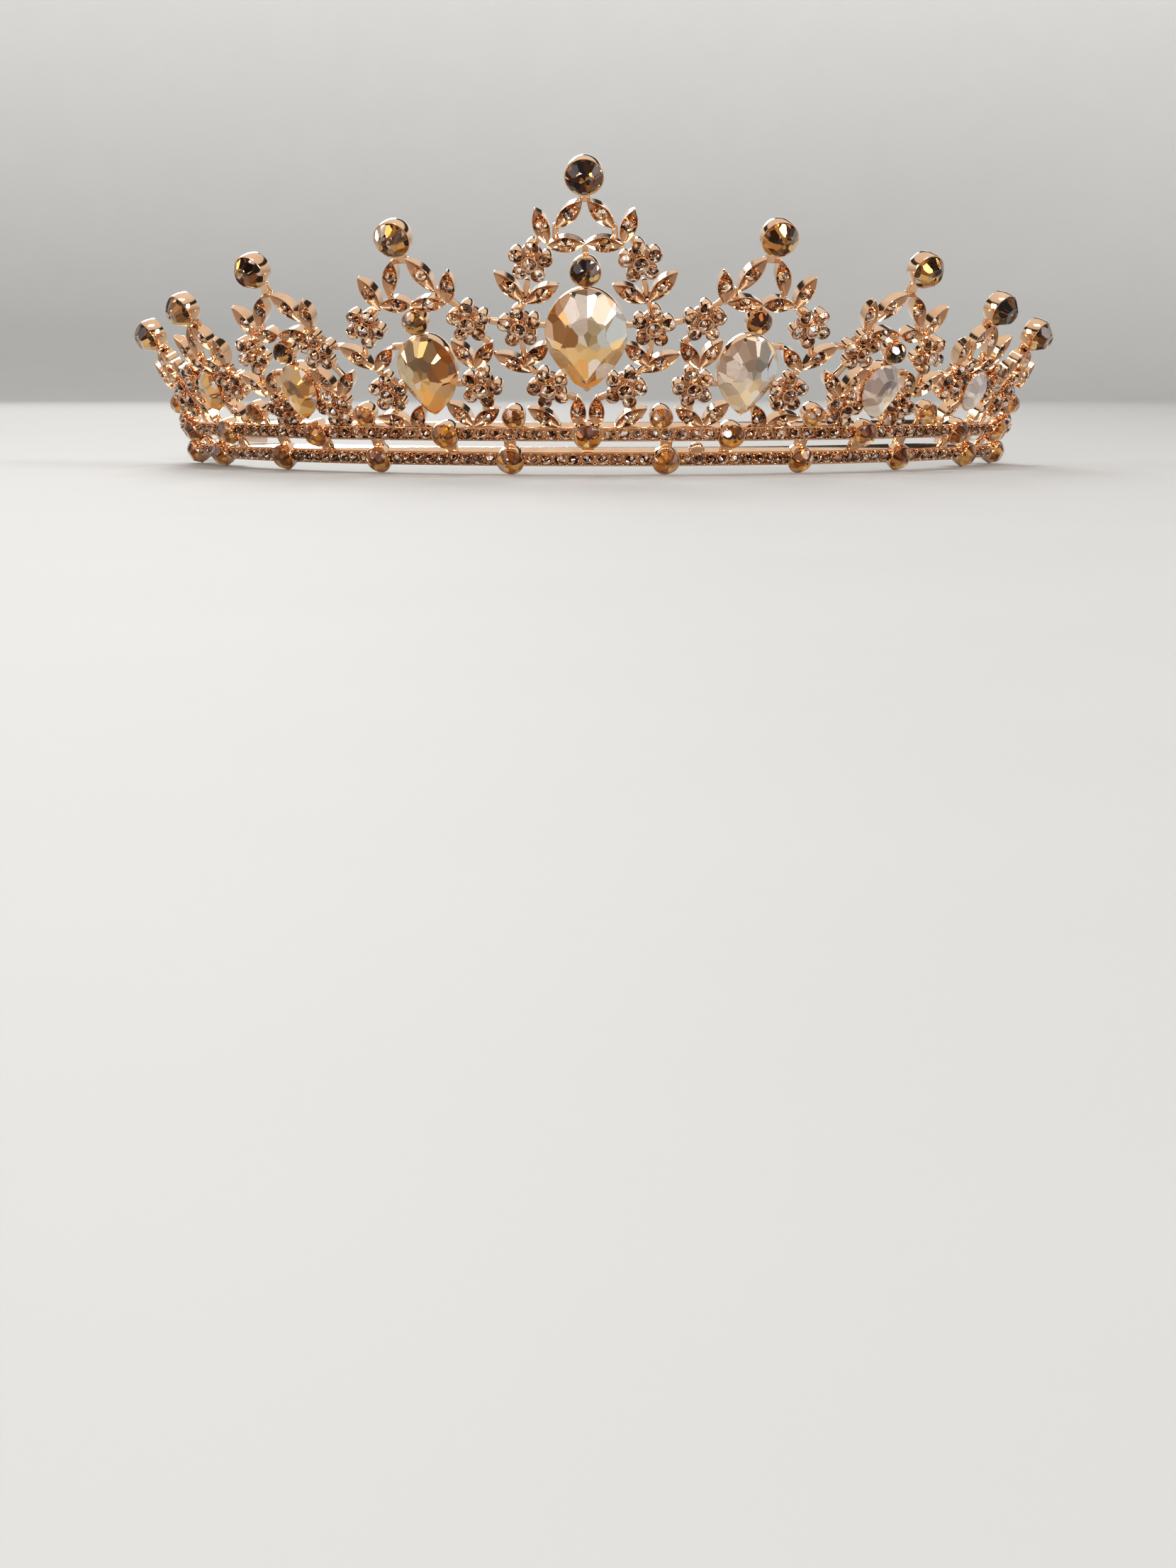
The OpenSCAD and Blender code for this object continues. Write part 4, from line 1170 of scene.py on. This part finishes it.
def stone_piece(name, parts, slot, *nodes):
    """Join stones into a piece that stands for the given solids."""
    piece = fuse(name, parts)
    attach(piece, "root")
    if nodes:
        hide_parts(*nodes)
    return piece


def set_round(template, place, d, over=0.0):
    """A round stone of a diameter, grown over its rim by a little."""
    return set_stone(template, place @ Matrix.Scale(d / 2 + over, 4), d / 2)


# How far the edge of each kind of stone reaches over the seat in its cup
TOP_OVER, BAND_OVER, FLOWER_OVER = 0.12, 0.1, 0.08

for i, (side, m) in enumerate(row(len(MOTIFS)), 1):
    along, (out, up), d = MOTIFS[m]
    where = TO_FRAME @ side @ on_motif(m, out, up, FINIAL_CUP_FRONT)
    stone = set_round(smoky_template, where, d, TOP_OVER)
    stone_piece(f"top_stone_{i}", [stone], "smoky_topaz_glass", f"finial_stone_{i}")
# The pears' numbers rise evenly from left to right: the left ones are painted golden, the others
# pale, as painted light from the window on the right
for i, (side, k) in enumerate(row(len(PEARS)), 1):
    m, out, up, width, length, tilt = PEARS[k]
    where = TO_FRAME @ side @ on_motif(m, out, up, PEAR_FRONT, tilt)
    stone = set_stone(pear_stones[k], where, width / 2, i / (2 * len(PEARS)))
    stone_piece(f"pear_{i}", [stone], "champagne_glass", f"pear_stone_{i}")
for i, (side, k) in enumerate(row(len(BEADS)), 1):
    m, out, up, d = BEADS[k]
    where = TO_FRAME @ side @ on_motif(m, out, up, BEAD_CUP_FRONT)
    stone = set_round(smoky_template, where, d, TOP_OVER)
    stone_piece(f"small_top_stone_{i}", [stone], "smoky_topaz_glass", f"bead_stone_{i}")
for label, stones, up, shared in (("upper", UPPER_STONES, BAND_PITCH, 1), ("lower", LOWER_STONES, 0, 0)):
    for i, (side, k) in enumerate(row(len(stones), shared), 1):
        where = TO_FRAME @ side @ on_wall(stones[k], up, BAND_CUP_FRONT)
        stone = set_round(amber_template, where, BAND_STONE_D, BAND_OVER)
        stone_piece(f"{label}_stone_{i}", [stone], "amber_glass", f"{label}_band_stone_{i}")

spacers = []
for along, up in SPACER_STONES:
    for side in sides(along):
        where = TO_FRAME @ side @ on_wall(along, up, SPACER_CUP_FRONT)
        spacers.append(set_round(amber_template, where, SPACER_STONE_D, BAND_OVER))
stone_piece("spacer_stone_row", spacers, "amber_glass", "spacer_stones")

# %% [markdown]
# The small stones come by the hundred, so each kind is joined into one piece for each half: five on
# the petals of a flower and one on its middle, one on each leaf, and the rows in the bands.

# %% Setting the small stones
for name, side in HALVES.items():
    parts = []
    for m, out, up, turn in FLOWERS:
        flower = TO_FRAME @ side @ on_motif(m, out, up, 0, turn)
        seats = [petal @ Matrix.Translation((0, 0, FLOWER_FRONT)) for petal in PETAL_PLACES]
        for seat in seats + [Matrix.Translation((0, 0, BOSS_FRONT))]:
            parts.append(set_round(peach_template, flower @ seat, FLOWER_STONE_D, FLOWER_OVER))
    for m, out, up in LONE_CUPS:
        where = TO_FRAME @ side @ on_motif(m, out, up, FLOWER_FRONT)
        parts.append(set_round(peach_template, where, FLOWER_STONE_D, FLOWER_OVER))
    stone_piece(f"flower_field_{name}", parts, "peach_glass", f"flower_stones_{name}")
    parts = []
    for m, out, up, angle, length in LEAVES:
        where = TO_FRAME @ side @ on_motif(m, out, up, LEAF_STONE_FRONT, angle)
        parts.append(set_round(peach_template, where, LEAF_STONE_D))
    stone_piece(f"leaf_stones_{name}", parts, "peach_glass")

parts = []
for up, places in pave_rows:
    for along, pitch in places:
        for side in sides(round(along, 2)):
            where = TO_FRAME @ side @ on_wall(along, up, PAVE_FRONT)
            d = min(PAVE_D, pitch * PAVE_SHARE)
            parts.append(set_stone(peach_template, where @ Matrix.Scale(d / 2, 4), PAVE_D / 2))
stone_piece("band_small_stones", parts, "peach_glass")

discard(smoky_template, amber_template, peach_template, *pear_stones, band_cup, spacer_cup,
        *bead_cups, *finial_cups, leaf_body, leaf_cup, petal_cup, boss_cup, flower_core, flower_body,
        *bezels, *bands, post, bar, pave_cup, prong, holder, wire, lone_boss)
print("stones set", stone_count[0])

# %% [markdown]
# The crown stands on a plain pale floor that curves up into a low backdrop. A curve has no corner
# for the eye to catch, and the same backdrop on every side lets the crown be seen from all round.
# The floor is darker than the backdrop, because light falls on it from above and would burn it out.

# %% Floor and backdrop
FLOOR_R, COVE_R, COVE_H = 1.1, 0.3, 0.4
# The floor's profile starts as one edge of a plane, whose corners are this far from its middle
CORNER = 0.5
WALL_TONES = ((0.76, 0.76, 0.745, 1), (0.79, 0.79, 0.775, 1))
GROUND_TONES = ((0.40, 0.395, 0.385, 1), (0.42, 0.415, 0.405, 1))


def floor_paint():
    """Matt paint that grows paler where the floor curves up."""
    material, shader, wire = new_material("pale_floor")
    cloud = wire.noise(30.0, 3.0)
    tone = wire.height(OBJECT).rise(0.0, COVE_R).mix(cloud.mix(*GROUND_TONES), cloud.mix(*WALL_TONES))
    wire.feed(shader, {"Base Color": tone, "Roughness": 0.7})
    return material


def make_cove():
    """A round floor whose edge curves up into a low backdrop on every side."""
    fresh()
    bpy.ops.mesh.primitive_plane_add(size=1)
    cove = begin("floor")
    pick("faces", lambda at, part: True)
    bpy.ops.mesh.delete(type="ONLY_FACE")
    pick("verts", lambda at, part: at.y > 0)
    bpy.ops.mesh.delete(type="VERT")
    pick("verts", lambda at, part: at.x < 0)
    move_picked(CORNER, CORNER, 0)
    pick("verts", lambda at, part: at.x > CORNER - NEAR)
    move_picked(FLOOR_R - CORNER, CORNER, 0)
    bpy.ops.mesh.spin(steps=16, angle=math.pi / 2, center=(FLOOR_R, 0, COVE_R), axis=(0, 1, 0))
    extrude_picked(0, 0, COVE_H - COVE_R)
    pick("verts", lambda at, part: True)
    bpy.ops.mesh.spin(steps=96, angle=2 * math.pi, center=(0, 0, 0), axis=(0, 0, 1))
    return close(cove, floor_paint(), smooth=60)


floor = make_cove()
print("floor box", [round(c, 2) for c in floor.dimensions])

# %% [markdown]
# Polished metal and cut glass show what is around them, so most of their look is in what they
# reflect. A large lamp stands in for a window on the right, softer ones stand on the left, above
# and behind, and a low one in front lights the lower facets, which look down. Three small lamps
# give points of glitter. The sky is pale above and below, with a dark belt between that gives each
# facet and each round edge something dark to show as well.

# %% Lamps and sky
def make_lamp(name, energy, size, place):
    """A soft rectangular lamp that looks at the crown."""
    lamp = bpy.data.lights.new(name, "AREA")
    lamp.shape = "RECTANGLE"
    lamp.size, lamp.size_y = size
    lamp.energy = energy
    stand = bpy.data.objects.new(name, lamp)
    facing = (LIT_POINT - Vector(place)).to_track_quat("-Z", "Y")
    stand.matrix_world = Matrix.Translation(place) @ facing.to_matrix().to_4x4()
    bpy.context.collection.objects.link(stand)


LIT_POINT = Vector((0, 0, 0.03))
make_lamp("window", 6.5, (0.34, 0.46), (0.80, -0.60, 0.45))
make_lamp("left_lamp", 3.0, (0.5, 0.5), (-0.85, -0.45, 0.35))
make_lamp("top_lamp", 3.0, (0.4, 0.2), (0.0, -0.30, 0.95))
make_lamp("front_glow", 1.1, (0.9, 0.22), (-0.1, -1.0, 0.12))
make_lamp("back_lamp", 4.5, (0.5, 0.25), (-0.3, 0.85, 0.60))
GLINT_SIZE, GLINT_Y = (0.07, 0.07), -0.95
for k, (x, z, power) in enumerate(((-0.45, 0.16, 0.8), (0.1, 0.42, 1.1), (0.5, 0.12, 0.8))):
    make_lamp(f"glint_lamp_{k}", power, GLINT_SIZE, (x, GLINT_Y, z))

world = bpy.data.worlds.new("studio")
bpy.context.scene.world = world
world.use_nodes = True
air = Wire(world.node_tree)
DARK_BELT = (0.05, 0.045, 0.04)
sky = air.height(GENERATED).ramp([
    (0.0, (0.85, 0.85, 0.85)), (0.38, (0.80, 0.80, 0.80)), (0.42, DARK_BELT),
    (0.60, DARK_BELT), (0.68, (0.80, 0.78, 0.76)), (1.0, (0.90, 0.88, 0.86)),
])
air.feed(world.node_tree.nodes["Background"], {"Color": sky, "Strength": 1.0})
print("lamps", len(bpy.data.lights))

# %% [markdown]
# The camera has the photograph's lens and distance, found by matching the places of the stones. The
# photograph looks up at the crown from below its base. On a floor the nearest view to that is a low
# one, from just above the floor. It looks down a little past the crown, so that the crown has the
# same place high in the picture. The view transform is the plain one, with a touch of gamma for the
# contrast of a phone's picture.

# %% Camera
IMAGE_H = 2212
FOCAL_PX = 3300.0
SENSOR = 36.0
DISTANCE = 0.384
EYE_HEIGHT = 0.016
AZIMUTH = math.radians(0.85)
# The point that the camera keeps its distance from, and the one that it looks at, in metres
FRONT_POINT = (0.003, -0.038)
AIM = Vector((0.0, -0.039, -0.051))
camera = bpy.data.cameras.new("camera")
camera.lens = FOCAL_PX / IMAGE_H * SENSOR
camera.clip_start = 0.01
eye = bpy.data.objects.new("camera", camera)
bpy.context.collection.objects.link(eye)
eye_at = Vector((FRONT_POINT[0] + DISTANCE * math.sin(AZIMUTH),
                 FRONT_POINT[1] - DISTANCE * math.cos(AZIMUTH), EYE_HEIGHT))
eye.matrix_world = Matrix.Translation(eye_at) @ (AIM - eye_at).to_track_quat("-Z", "Y").to_matrix().to_4x4()
bpy.context.scene.camera = eye
view = bpy.context.scene.view_settings
view.view_transform = "Standard"
view.exposure = 0.14
view.gamma = 0.92
print("camera at", [round(c * 1000) for c in eye_at])
